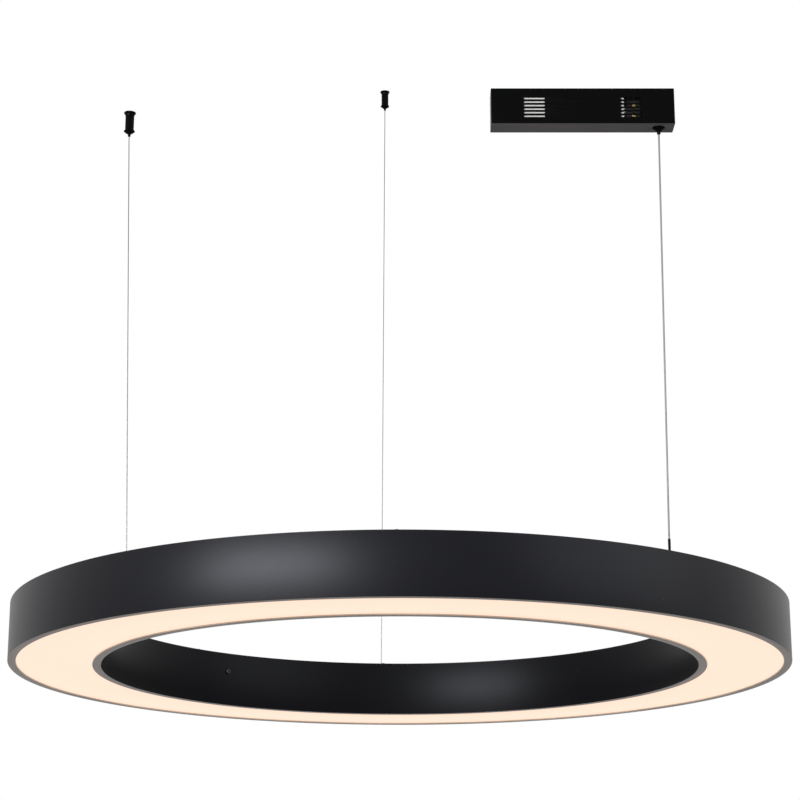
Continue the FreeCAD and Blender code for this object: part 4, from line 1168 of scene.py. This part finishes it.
    def build(self) -> None:
        """Makes the hoops, the plate, the sheet and the screws."""
        self.hoop("outer_hoop", self.radius, self.outer_lip, -1)
        self.hoop("inner_hoop", self.hole, self.inner_lip, 1)
        coat, opal = self.finishes["ring_coat"], self.finishes["opal"]
        plate = self.flat_ring("top_plate_look", self.plate_inset, self.top, self.sheet,
                               self.plate_softness, coat)
        dressed(plate, Body.RING, "ring_coat", [coat], ["top_plate"])
        sheet = self.flat_ring("diffuser_look", self.sheet + self.diffuser_gap,
                               self.bottom + self.sheet, self.diffuser_sheet,
                               self.diffuser_softness, opal)
        dressed(sheet, Body.RING, "opal", [opal], ["diffuser"])
        self.screws("top_plate_screws", self.plate_screw,
                    [Spot(self.at(angle, radius, self.top + self.sheet))
                     for angle in self.all_rib_angles()
                     for radius in (self.hole + self.screw_inset,
                                    self.radius - self.screw_inset)])
        turn, level = math.radians(self.seam_angle), self.bottom + self.seam_level
        self.screws("seam_screws", self.seam_screw,
                    [Spot(self.at(self.seam_angle, radius, level), (0.0, lean, turn))
                     for radius, lean in ((self.radius, FULL_TURN / 4),
                                          (self.hole, -FULL_TURN / 4))])


@dataclass
class Sockets:
    """The turned bushes that the lines enter on top of the ring, and the cable's sleeve."""

    finishes: Palette
    plate_top: float
    sleeve_height: float = 0.0255
    cap_radius: float = 0.005
    cap_height: float = 0.006
    cap_mouth: float = 0.55
    cap_shoulder: float = 0.72
    cap_rounding: float = 0.2
    cap_groove: float = 0.45
    shank_radius: float = 0.004
    shank_length: float = 0.015
    play: float = 0.0003
    ferrule_room: float = 0.0023
    ferrule_depth: float = 0.007
    sleeve_collar: float = 0.0026
    sleeve_collar_height: float = 0.0016
    sleeve_wall: float = 0.00045
    sleeve_play: float = 0.00005
    sleeve_edge: float = 0.8
    sleeve_facets: int = 40
    ribs: int = 9
    ribbed_share: float = 0.62
    rib_start: float = 0.4
    rib_dent: float = 0.35
    dent_marks: tuple[float, float, float] = (0.12, 0.38, 0.5)
    groove: float = 0.00025

    def bush(self, cord_radius: float) -> bpy.types.Mesh:
        """A flanged bush about the origin's axis, its seat at level zero."""
        cap, high, groove = self.cap_radius, self.cap_height, self.groove
        bore, foot = cord_radius + self.play, -self.shank_length
        mid = high * self.cap_groove
        corners = rounded([
            Corner(bore, high, groove), Corner(cap * self.cap_mouth, high, groove),
            Corner(cap, high * self.cap_shoulder, cap * self.cap_rounding),
            Corner(cap, mid + groove), Corner(cap - groove, mid), Corner(cap, mid - groove),
            Corner(cap, 0.0, groove), Corner(self.shank_radius, 0.0),
            Corner(self.shank_radius, foot, groove), Corner(self.ferrule_room, foot),
            Corner(self.ferrule_room, foot + self.ferrule_depth),
            Corner(bore, foot + self.ferrule_depth)], loop=True)
        return turned_mesh("bush", corners, loop=True)

    def sleeve(self, cord_radius: float) -> bpy.types.Mesh:
        """The cable's ribbed strain relief about the origin's axis."""
        inner, height, groove = cord_radius + self.sleeve_play, self.sleeve_height, self.groove
        outer, collar, low = inner + self.sleeve_wall, self.sleeve_collar, self.sleeve_collar_height
        corners = [Corner(inner, 0.0), Corner(collar, 0.0, groove), Corner(collar, low, groove),
                   Corner(outer, 2 * low, groove)]
        pitch = (height * self.ribbed_share - 2 * low) / self.ribs
        dented = outer - self.sleeve_wall * self.rib_dent
        dent_in, dent_out, end = self.dent_marks
        for k in range(self.ribs):
            level = 2 * low + pitch * (k + self.rib_start)
            corners += [Corner(outer, level), Corner(dented, level + pitch * dent_in),
                        Corner(dented, level + pitch * dent_out),
                        Corner(outer, level + pitch * end)]
        corners += [Corner(outer, height, groove * self.sleeve_edge), Corner(inner, height)]
        return turned_mesh("sleeve", rounded(corners, loop=True), loop=True,
                           count=self.sleeve_facets)

    def build(self, wires: Sequence["HungLine"], cable: "HungLine") -> None:
        """Makes the three bushes and the sleeve.

        Args:
            wires: The two wires, of one diameter.
            cable: The cable.
        """
        black = self.finishes["turned_black"]
        seats = [Spot(Vector((*wire.points[-1][:2], self.plate_top))) for wire in wires]
        pair = repeated("wire_sockets_look", self.bush(wires[0].diameter / 2), seats, black)
        dressed(pair, Body.RING, "socket_black", [black], ["wire_sockets"])
        seat = Matrix.Translation((*cable.points[-1][:2], self.plate_top))
        on_cap = seat @ Matrix.Translation((0.0, 0.0, self.cap_height))
        for node, mesh, shift, slot, finish in (
                ("cable_socket", self.bush(cable.diameter / 2), seat, "socket_black", black),
                ("cable_sleeve", self.sleeve(cable.diameter / 2), on_cap, "sleeve_rubber",
                 self.finishes["sleeve_rubber"])):
            mesh.transform(shift)
            dressed(placed(f"{node}_look", mesh), Body.RING, slot, [finish], [node])


@dataclass
class GripperLook:
    """The turned pieces of one ceiling gripper, with its nozzle and its spring."""

    name: str
    finishes: Palette
    cord_radius: float
    hollow: bool = False
    flange_radius: float = 0.0075
    flange_height: float = 0.0015
    neck_height: float = 0.004
    neck_flare: float = 1.1
    neck_drop: float = 1.9
    body_radius: float = 0.0055
    body_height: float = 0.019
    band_share: float = 0.12
    skirt_radius: float = 0.00695
    skirt_height: float = 0.0015
    cone_height: float = 0.0028
    cone_wall: float = 0.001
    spigot_radius: float = 0.0042
    spigot_height: float = 0.003
    thread_play: float = 0.00005
    hole_radius: float = 0.00215
    sink_radius: float = 0.004
    nozzle_wall: float = 0.0008
    highlight_band: float = 0.001
    play: float = 0.0003
    fit: float = 0.00005
    ball_radius: float = 0.0009
    ball_play: float = 0.0001
    seat_height: float = 0.003
    stud_radius: float = 0.004
    stud_height: float = 0.0065
    release: float = 0.002
    edge: float = 0.0005
    groove: float = 0.0002

    @property
    def bore(self) -> float:
        """The radius of the wire's way."""
        return self.cord_radius + self.play

    @property
    def chamber(self) -> float:
        """The radius of the room for balls and spring."""
        return self.cord_radius + 2 * self.ball_radius + self.fit + self.ball_play

    @property
    def body_top(self) -> float:
        """The level of the barrel's shoulder, with the anchor's top at zero."""
        return -self.flange_height - self.neck_height

    def anchor(self) -> bpy.types.Mesh:
        """The ceiling cup, its top at level zero."""
        room_top = self.body_top + self.spigot_height
        room = self.spigot_radius + self.thread_play
        outside = [
            Corner(self.flange_radius, 0.0, self.groove),
            Corner(self.flange_radius, -self.flange_height + self.edge, self.groove),
            Corner(self.flange_radius - self.edge, -self.flange_height, self.groove),
            Corner(self.body_radius * self.neck_flare, -self.flange_height * self.neck_drop,
                   self.groove * 4),
            Corner(self.body_radius, self.body_top, self.groove),
            Corner(room, self.body_top)]
        if self.hollow:
            inside = [Corner(room, room_top + self.thread_play),
                      Corner(self.bore, room_top + self.thread_play),
                      Corner(self.bore, self.stud_height),
                      Corner(self.stud_radius, self.stud_height, self.groove * 2),
                      Corner(self.stud_radius, 0.0)]
        else:
            inside = [Corner(room, room_top + self.thread_play),
                      Corner(self.sink_radius, room_top),
                      Corner(self.hole_radius, -self.flange_height + self.edge),
                      Corner(self.hole_radius, 0.0, self.groove)]
        return turned_mesh(f"{self.name}_anchor", rounded(outside + inside, loop=True), loop=True)

    def barrel(self) -> bpy.types.Mesh:
        """The body with its skirt and cone, the anchor's top at level zero."""
        body_top, groove, edge = self.body_top, self.groove, self.edge
        skirt_top = body_top - self.body_height
        skirt_bottom = skirt_top - self.skirt_height
        bottom = skirt_bottom - self.cone_height
        nozzle = self.bore + self.nozzle_wall
        seat_bottom = skirt_top + self.seat_height / 2
        seat_top = seat_bottom + self.seat_height
        band = body_top - self.body_height * self.band_share
        corners = [
            Corner(self.chamber, body_top + self.spigot_height),
            Corner(self.spigot_radius, body_top + self.spigot_height, groove),
            Corner(self.spigot_radius, body_top), Corner(self.body_radius, body_top, groove),
            Corner(self.body_radius, band), Corner(self.body_radius - groove, band - groove),
            Corner(self.body_radius, band - 2 * groove),
            Corner(self.body_radius, skirt_top + edge, groove),
            Corner(self.skirt_radius - edge, skirt_top, groove),
            Corner(self.skirt_radius, skirt_top - edge, groove),
            Corner(self.skirt_radius, skirt_bottom + edge, groove),
            Corner(self.skirt_radius - edge, skirt_bottom, groove),
            Corner(nozzle + self.cone_wall, bottom, groove),
            Corner(nozzle + self.fit, bottom), Corner(nozzle + self.fit, seat_bottom),
            Corner(self.chamber, seat_top)]
        return turned_mesh(f"{self.name}_barrel", rounded(corners, loop=True), loop=True)

    def build(self) -> None:
        """Makes the anchor and the barrel, and dresses the nozzle and the spring."""
        low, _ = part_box(f"{self.name}_barrel")
        middle = middle_of(f"{self.name}_barrel")
        tall = (self.flange_height + self.neck_height + self.body_height + self.skirt_height
                + self.cone_height)
        shift = Matrix.Translation((middle.x, middle.y, low.z + tall))
        black = self.finishes["turned_black"]
        for part, mesh in (("anchor", self.anchor()), ("barrel", self.barrel())):
            mesh.transform(shift)
            node = f"{self.name}_{part}"
            dressed(placed(f"{node}_look", mesh), Body.ROOT, "gripper_black", [black], [node])
        node = f"{self.name}_nozzle"
        nozzle = dressed(softened(node, 0.0), Body(node), "nozzle_black",
                         [black, self.finishes["nickel"]], [node])
        # A thin band of bright nickel on the nozzle just below the barrel's cone stands for a
        # highlight there: painted highlight.
        for face in nozzle.data.polygons:
            if low.z - self.highlight_band < face.center.z < low.z + self.edge:
                face.material_index = 1
        self.spring()

    def spring(self) -> None:
        """Dresses the spring; the piece keeps its length, though the nozzle shortens the real
        spring when pushed up.
        """
        node = f"{self.name}_spring"
        low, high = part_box(node)
        piece = dressed(softened(node, 0.0), Body.ROOT, "spring_steel",
                        [self.finishes["spring_steel"]], [node])
        tall = high.z - low.z
        (tall - self.release) / tall
        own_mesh(piece)


@dataclass
class HungLine:
    """One of the lines from a gripper to the ring: a twisted rope, or smooth with no strands."""

    name: str
    slot: str
    finish: bpy.types.Material
    diameter: float
    points: tuple[tuple[float, float, float], ...]
    travel: float = 0.3
    strands: int = 6
    lay: float = 0.0075
    step: float = 0.0008
    per_strand: int = 4
    smooth_facets: int = 20
    steady: float = 6.0
    path_step: int = 8

    def reach(self, turn: float, distance: float) -> float:
        """The radius of the line.

        Args:
            turn: The turn round it.
            distance: The distance along it.

        Returns:
            The radius there.
        """
        radius = self.diameter / 2
        if not self.strands:
            return radius
        part = FULL_TURN / self.strands
        off = (turn - FULL_TURN * distance / self.lay + part / 2) % part - part / 2
        strand = radius / 3
        return strand * (2 * math.cos(off) + math.sqrt(max(0.0, 1 - 4 * math.sin(off) ** 2)))

    def part(self, label: str, line: Sequence[Vector], start: float, body: Body,
             nodes: Iterable[str] = ()) -> bpy.types.Object:
        """Makes one part of the line.

        Args:
            label: What the part is called.
            line: The points that it follows.
            start: How far along the line it begins.
            body: The body that it rides on.
            nodes: The CAD nodes that it stands for.

        Returns:
            The part.
        """
        count = self.strands * self.per_strand if self.strands else self.smooth_facets
        mesh = tube_mesh(f"{self.name}_{label}", line, self.reach, count, start)
        return dressed(placed(f"{self.name}_{label}_look", mesh), body, self.slot,
                       [self.finish], nodes)

    def build(self) -> None:
        """Its ends are parts of their own: the top rides on the root and the foot on the ring, so
        that the foot stays straight in its bore when the ring is lifted; the run between them keeps
        its length.
        """
        first, second, third, last = (Vector(point) for point in self.points)
        run = (third - second).normalized() * (self.steady * self.diameter)
        line = evenly(route(f"{self.name}_route", [first, second, second + run, third - run,
                                                   third, last]), self.step)
        spacing = (line[1] - line[0]).length
        high, low = (next(k for k, point in enumerate(line) if point.z <= bend.z)
                     for bend in (second, third))
        top = self.part("top", line[:high + 1], 0.0, Body.ROOT, [self.name])
        middle = self.part("run", line[high:low + 1], high * spacing, Body.ROOT, [self.name])
        foot = self.part("foot", line[low:], low * spacing, Body.RING)
        1 - self.travel / (line[high].z - line[low].z)
        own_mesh(middle)
        (low - high) * spacing
        line[high:low:self.path_step] + [line[low]]


@dataclass
class Canopy:
    """The long narrow cover with its vents and exit hole; its underside gets a paler copy of the
    coat, a painted reflection of the pale surround at a grazing angle.
    """

    coat: bpy.types.Material
    painted_reflection_coat: bpy.types.Material
    length: float = 0.225
    depth: float = 0.029
    height: float = 0.0465
    sheet: float = 0.001
    corner: float = 0.0012
    corner_facets: int = 5
    fold: float = 0.0006
    fold_facets: int = 3
    inner_tightness: float = 4.0
    cut_edge: float = 0.18
    cut_angle: float = math.radians(60)
    downward: float = -0.9
    exit_x: float = 0.0936
    exit_radius: float = 0.00755
    vent_x: float = 0.0595
    vent_level: float = 0.025
    vent_length: float = 0.026
    vent_slot: float = 0.0024
    vent_pitch: float = 0.0047
    vent_count: int = 6
    vent_facets: int = 8

    def block(self, name: str, inset: float, low: float, high: float,
              tightness: float = 1.0) -> bpy.types.Object:
        """A box with rounded upright and lower edges.

        Args:
            name: The object's name.
            inset: How far its sides lie inside the cover's faces.
            low: Its lower level.
            high: Its upper level.
            tightness: How many times smaller its roundings are than the cover's.

        Returns:
            The box.
        """
        work = bmesh.new()
        bmesh.ops.create_cube(work, size=1.0)
        size = Vector((self.length - 2 * inset, self.depth - 2 * inset, high - low))
        for vert in work.verts:
            vert.co = Vector((vert.co.x * size.x, vert.co.y * size.y,
                              low + (vert.co.z + 0.5) * size.z))
        upright = [e for e in work.edges if abs(e.verts[0].co.z - e.verts[1].co.z) > WELD]
        bmesh.ops.bevel(work, geom=upright, offset=self.corner / tightness,
                        segments=self.corner_facets, profile=0.5, affect="EDGES")
        bottom = [e for e in work.edges if all(v.co.z < low + WELD for v in e.verts)]
        bmesh.ops.bevel(work, geom=bottom, offset=self.fold / tightness,
                        segments=self.fold_facets, profile=0.5, affect="EDGES")
        return placed(name, closed_up(work, name))

    def slot_mesh(self) -> bpy.types.Mesh:
        """The cutter of one rounded slot, along X, through the whole depth."""
        work = bmesh.new()
        half, radius = self.vent_length / 2 - self.vent_slot / 2, self.vent_slot / 2
        deep = self.depth / 2 + OVERRUN
        points = []
        for end in (1, -1):
            for k in range(self.vent_facets + 1):
                turn = math.pi * (k / self.vent_facets - 0.5)
                points.append((end * (half + radius * math.cos(turn)),
                               end * radius * math.sin(turn)))
        bridged(work, [[work.verts.new((x, y, z)) for x, z in points] for y in (-deep, deep)])
        return closed_up(work, "vent_slot")

    def build(self) -> None:
        """Makes the cover."""
        cover = self.block("canopy_cover_look", 0.0, -self.height, 0.0)
        room = self.block("canopy_room", self.sheet, self.sheet - self.height, OVERRUN,
                          self.inner_tightness)
        spots = [Spot(Vector((side * self.vent_x, 0.0,
                              (k - (self.vent_count - 1) / 2) * self.vent_pitch - self.vent_level)))
                 for side in (-1, 1) for k in range(self.vent_count)]
        slots = repeated("canopy_slots", self.slot_mesh(), spots, self.coat)
        hole_corners = [Corner(self.exit_radius, -self.height - OVERRUN),
                        Corner(self.exit_radius, self.sheet * 2 - self.height)]
        hole = placed("canopy_exit", turned_mesh("canopy_exit", hole_corners, loop=False))
        hole.data.transform(Matrix.Translation((self.exit_x, 0.0, 0.0)))
        cutters = [room, slots, hole]
        for cutter in cutters:
            cut = cover.modifiers.new(cutter.name, "BOOLEAN")
            cut.operation, cut.solver, cut.object = "DIFFERENCE", "EXACT", cutter
        bevelled(cover, self.sheet * self.cut_edge, self.cut_angle)
        evaluated(cover)
        for cutter in cutters:
            bpy.data.objects.remove(cutter)
        smooth(cover.data)
        dressed(cover, Body.COVER, "canopy_coat", [self.coat, self.painted_reflection_coat], ["canopy_cover"])
        # Faces on the underside take the paler copy of the coat: painted reflection.
        for face in cover.data.polygons:
            if face.normal.z < self.downward and face.center.z < self.sheet / 2 - self.height:
                face.material_index = 1


@dataclass(frozen=True)
class Panel:
    """A soft panel lamp: its place from the ring's middle, its two sides and its power."""

    name: str
    offset: tuple[float, float, float]
    width: float
    height: float
    watts: float


@dataclass
class Studio:
    """The camera at the photograph's angle, two soft lamps, a pale floor and the surround."""

    camera_place: tuple[float, float, float] = (-0.2238, -2.4993, -1.1227)
    camera_pitch: float = 106.25
    lens: float = 99.0
    sensor: float = 36.0
    lamps: tuple[Panel, ...] = (
        Panel("key", offset=(-1.9, -2.89, 0.66), width=2.2, height=0.6, watts=145.0),
        Panel("fill", offset=(2.6, -1.6, 1.0), width=2.6, height=2.0, watts=32.0))
    surround: float = 0.45
    floor_level: float = -2.4
    floor_size: float = 14.0
    floor_shades: tuple[Colour, Colour] = (shade(0.80, 0.80, 0.80), shade(0.84, 0.84, 0.84))
    floor_cloud: float = 1.5
    floor_roughness: float = 0.9
    floor_specular: float = 0.1

    def camera(self) -> None:
        """Makes the camera."""
        data = bpy.data.cameras.new("camera")
        data.lens, data.sensor_width, data.sensor_fit = self.lens, self.sensor, "AUTO"
        camera = placed("camera", data)
        camera.location = self.camera_place
        camera.rotation_euler = (math.radians(self.camera_pitch), 0.0, 0.0)
        bpy.context.scene.camera = camera

    def lamp(self, panel: Panel, target: Vector) -> None:
        """Makes a lamp.

        Args:
            panel: The lamp's sizes.
            target: What it points at.
        """
        data = bpy.data.lights.new(panel.name, "AREA")
        data.shape, data.size, data.size_y = "RECTANGLE", panel.width, panel.height
        data.energy = panel.watts
        place = target + Vector(panel.offset)
        lamp = placed(panel.name, data)
        lamp.location = place
        lamp.rotation_euler = (target - place).to_track_quat("-Z", "Y").to_euler()

    def world(self) -> None:
        """Makes the surround: white to the camera, gloss and glass, pale grey as light."""
        world = bpy.data.worlds.new("surround")
        bpy.context.scene.world = world
        world.use_nodes = True
        tree = Tree(world.node_tree)
        tree.tree.nodes.clear()
        path = tree.node("ShaderNodeLightPath")
        seen = (Value(tree, path.outputs["Is Camera Ray"])
                .greater(Value(tree, path.outputs["Is Glossy Ray"]))
                .greater(Value(tree, path.outputs["Is Transmission Ray"])))
        level = self.surround + (1.0 - self.surround) * seen
        background = tree.node("ShaderNodeBackground", None,
                               {"Color": shade(1.0, 1.0, 1.0), "Strength": level})
        tree.node("ShaderNodeOutputWorld", None, {"Surface": background.outputs[0]})

    def floor(self) -> None:
        """Makes the pale floor."""
        half = self.floor_size / 2
        mesh = bpy.data.meshes.new("floor")
        mesh.from_pydata([(-half, -half, 0), (half, -half, 0), (half, half, 0), (-half, half, 0)],
                         [], [(0, 1, 2, 3)])
        mesh.transform(Matrix.Translation((0.0, 0.0, self.floor_level)))
        shader = Shader("floor_paint")
        colour = shader.blended(shader.noise(self.floor_cloud), *self.floor_shades)
        mesh.materials.append(shader.finished(Base_Color=colour, Roughness=self.floor_roughness,
                                              Specular_IOR_Level=self.floor_specular))
        floor = placed("floor", mesh)

    def build(self, target: Vector) -> None:
        """Makes everything round the lamp.

        Args:
            target: What the lamps point at.
        """
        bpy.context.scene.view_settings.view_transform = "Standard"
        self.camera()
        self.world()
        self.floor()
        for panel in self.lamps:
            self.lamp(panel, target)


def made_finishes(centre: Vector) -> Palette:
    """Makes all the lamp's materials, each once.

    Args:
        centre: The ring's axis.

    Returns:
        The materials by name.
    """
    looks = (
        PowderCoat("ring_coat"),
        # A darker, less glossy copy of the ring's coat for the inner hoop: painted shade.
        PowderCoat("ring_inner_coat", shade(0.001, 0.001, 0.0014), specular=0.085),
        # Paler, warm copy of the coat for the lips' bottom faces: painted glow and painted
        # reflection.
        PowderCoat("ring_lip", shade(0.135, 0.113, 0.1), sparkle_gain=1.5, speck_gain=1.8),
        # Paler copy still for the lips' inner edges beside the sheet: painted glow.
        PowderCoat("ring_lip_rim", shade(0.5, 0.42, 0.35), sparkle_gain=1.1, speck_gain=1.1),
        PowderCoat("canopy_coat", shade(0.0003, 0.0003, 0.0003), roughness=0.27, specular=0.05,
                   speck_rarity=0.97),
        # Paler copy of the canopy's coat for its underside: painted reflection.
        PowderCoat("canopy_under", shade(0.071, 0.067, 0.069), roughness=0.55, specular=0.015,
                   sparkle_gain=1.3, speck_gain=1.3),
        OpalSheet("opal", (centre.x, centre.y)),
        BareMetal("black_steel", shade(0.03, 0.03, 0.032), roughness=0.32),
        PowderCoat("turned_black", shade(0.0007, 0.0007, 0.0008), roughness=0.34,
                   specular=0.035, speck_rarity=1.1),
        # Bright nickel for the thin band on each nozzle: painted highlight.
        BareMetal("nickel", shade(0.7, 0.69, 0.67), roughness=0.2),
        BareMetal("steel", shade(0.56, 0.56, 0.57), roughness=0.28, grain_scale=900.0),
        # Steel darkened well below bare steel: painted shade between the rope's strands.
        BareMetal("rope_steel", shade(0.16, 0.16, 0.165), grain_scale=1500.0),
        BareMetal("spring_steel", shade(0.45, 0.44, 0.43), roughness=0.25),
        SpangledZinc("zinc_sheet"),
        BareMetal("zinc_screws", shade(0.6, 0.61, 0.62), roughness=0.3),
        BareMetal("crimp_alloy", shade(0.58, 0.55, 0.5)),
        BareMetal("brass", shade(0.72, 0.55, 0.28), roughness=0.28),
        Moulded("carrier_white", shade(0.78, 0.78, 0.76), roughness=0.45),
        BoardLacquer("board_white", shade(0.78, 0.78, 0.75), shade(0.6, 0.6, 0.56)),
        BoardLacquer("board_green", shade(0.02, 0.16, 0.06), shade(0.06, 0.32, 0.14)),
        Moulded("chip_yellow", shade(0.85, 0.62, 0.1), roughness=0.35),
        Moulded("plug_white", shade(0.72, 0.71, 0.66)),
        Moulded("sleeve_rubber", shade(0.003, 0.003, 0.003), roughness=0.55, specular=0.06),
        Moulded("grommet_rubber", shade(0.02, 0.02, 0.02), roughness=0.65, specular=0.3),
        Moulded("lead_jacket", shade(0.6, 0.6, 0.58), roughness=0.4),
        Moulded("driver_white", shade(0.5, 0.5, 0.485), roughness=0.45, specular=0.2),
        Moulded("component_dark", shade(0.03, 0.03, 0.035), roughness=0.35),
        Moulded("terminal_black", shade(0.014, 0.014, 0.015), roughness=0.4),
        Jacket("cable_jacket", shade(0.17, 0.17, 0.17), shade(0.12, 0.12, 0.122)))
    return {look.name: look.material() for look in looks}


@dataclass(frozen=True)
class Keep:
    """A CAD node whose shape is right: its slot, its softened edge, its body and its finish."""

    node: str
    slot: str
    edge: float = 0.0
    body: Body = Body.RING
    finish: str = ""

    def build(self, finishes: Palette) -> None:
        """Softens and dresses the node, with the finish of its slot's name if none is given."""
        dressed(softened(self.node, self.edge), self.body, self.slot,
                [finishes[self.finish or self.slot]], [self.node])


KEPT = (
    Keep("hanger_ribs", "rib_zinc", 0.0002, finish="zinc_sheet"),
    Keep("cross_ribs", "rib_zinc", 0.0002, finish="zinc_sheet"),
    Keep("light_carrier", "carrier_white"),
    Keep("carrier_screws", "zinc_screws"),
    Keep("light_boards", "board_white"),
    Keep("light_chips", "chip_yellow", 0.0002),
    Keep("board_links", "plug_white", 0.0003),
    Keep("diffuser_clips", "clip_spring_steel", 0.0001, finish="spring_steel"),
    Keep("seam_plates", "rib_zinc", 0.0002, finish="zinc_sheet"),
    Keep("socket_nuts", "zinc_screws", 0.0003),
    Keep("ferrules", "crimp_alloy", 0.0002),
    Keep("ring_lead", "lead_jacket"),
    Keep("ring_connector", "plug_white", 0.0005),
    Keep("ceiling_bracket", "bracket_zinc", 0.0002, Body.ROOT, "zinc_sheet"),
    Keep("bracket_screws", "zinc_screws", 0.0, Body.ROOT),
    Keep("mains_grommet", "grommet_rubber", 0.0003, Body.ROOT),
    Keep("mains_lead", "lead_jacket", 0.0, Body.ROOT),
    Keep("driver_case", "driver_white", 0.0003, Body.ROOT),
    Keep("driver_lid", "driver_white", 0.0002, Body.ROOT),
    Keep("driver_board", "board_green", 0.0001, Body.ROOT),
    Keep("driver_components", "component_dark", 0.0004, Body.ROOT),
    Keep("terminal_block", "terminal_black", 0.0003, Body.ROOT),
    Keep("terminal_screws", "terminal_brass", 0.0002, Body.ROOT, "brass"),
    Keep("output_lead", "lead_jacket", 0.0, Body.ROOT),
    Keep("power_hanger", "bracket_zinc", 0.0002, Body.ROOT, "zinc_sheet"),
    Keep("hanger_screws", "zinc_screws", 0.0, Body.ROOT),
    Keep("hanger_nut", "zinc_screws", 0.0003, Body.ROOT),
    Keep("power_lead", "cable_jacket", 0.0, Body.ROOT),
    Keep("left_balls", "ball_steel", 0.0, Body.LEFT_NOZZLE, "steel"),
    Keep("middle_balls", "ball_steel", 0.0, Body.MIDDLE_NOZZLE, "steel"),
    Keep("power_balls", "ball_steel", 0.0, Body.POWER_NOZZLE, "steel"))


def hung_lines(finishes: Palette) -> tuple[HungLine, HungLine, HungLine]:
    """The two wires and the cable, each from its place in the gripper to its end in the ring.

    Args:
        finishes: The lamp's materials.

    Returns:
        The left wire, the middle wire and the cable.
    """
    # The wires' steel is darkened: painted shade between the strands.
    rope, jacket = finishes["rope_steel"], finishes["cable_jacket"]
    return (
        HungLine("left_wire", "wire_steel", rope, diameter=0.0012,
                 points=((-0.56386, 0.06003, -0.009), (-0.56386, 0.06003, -0.0373),
                         (-0.54376, 0.02353, -0.5785), (-0.54376, 0.02353, -0.6035))),
        HungLine("middle_wire", "wire_steel", rope, diameter=0.0012,
                 points=((-0.24806, 0.76703, 0.3375), (-0.24806, 0.76703, 0.3092),
                         (-0.25176, 0.76863, -0.5785), (-0.25176, 0.76863, -0.6035))),
        HungLine("power_cable", "cable_jacket", jacket, diameter=0.0022, strands=0,
                 points=((0.0936, 0.0, -0.0317), (0.0936, 0.0, -0.06),
                         (0.0914, 0.0191, -0.553), (0.0914, 0.0191, -0.6035))))


def main() -> None:
    """Builds the lamp's looks round the frame."""
    logging.basicConfig(level=logging.INFO, format="%(message)s")
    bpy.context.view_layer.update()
    middle = middle_of("outer_hoop")
    centre = Vector((middle.x, middle.y, 0.0))
    finishes = made_finishes(centre)
    Studio().build(middle)
    lines = hung_lines(finishes)
    for line in lines:
        line.build()
    RingBody(finishes, centre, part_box("outer_hoop")[0].z).build()
    Sockets(finishes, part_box("top_plate")[1].z).build(lines[:2], lines[2])
    for name, line in zip(("left", "middle", "power"), lines):
        GripperLook(name, finishes, line.diameter / 2, hollow=name == "power").build()
    Canopy(finishes["canopy_coat"], finishes["canopy_under"]).build()
    for keep in KEPT:
        keep.build(finishes)


if __name__ == "__main__":
    main()
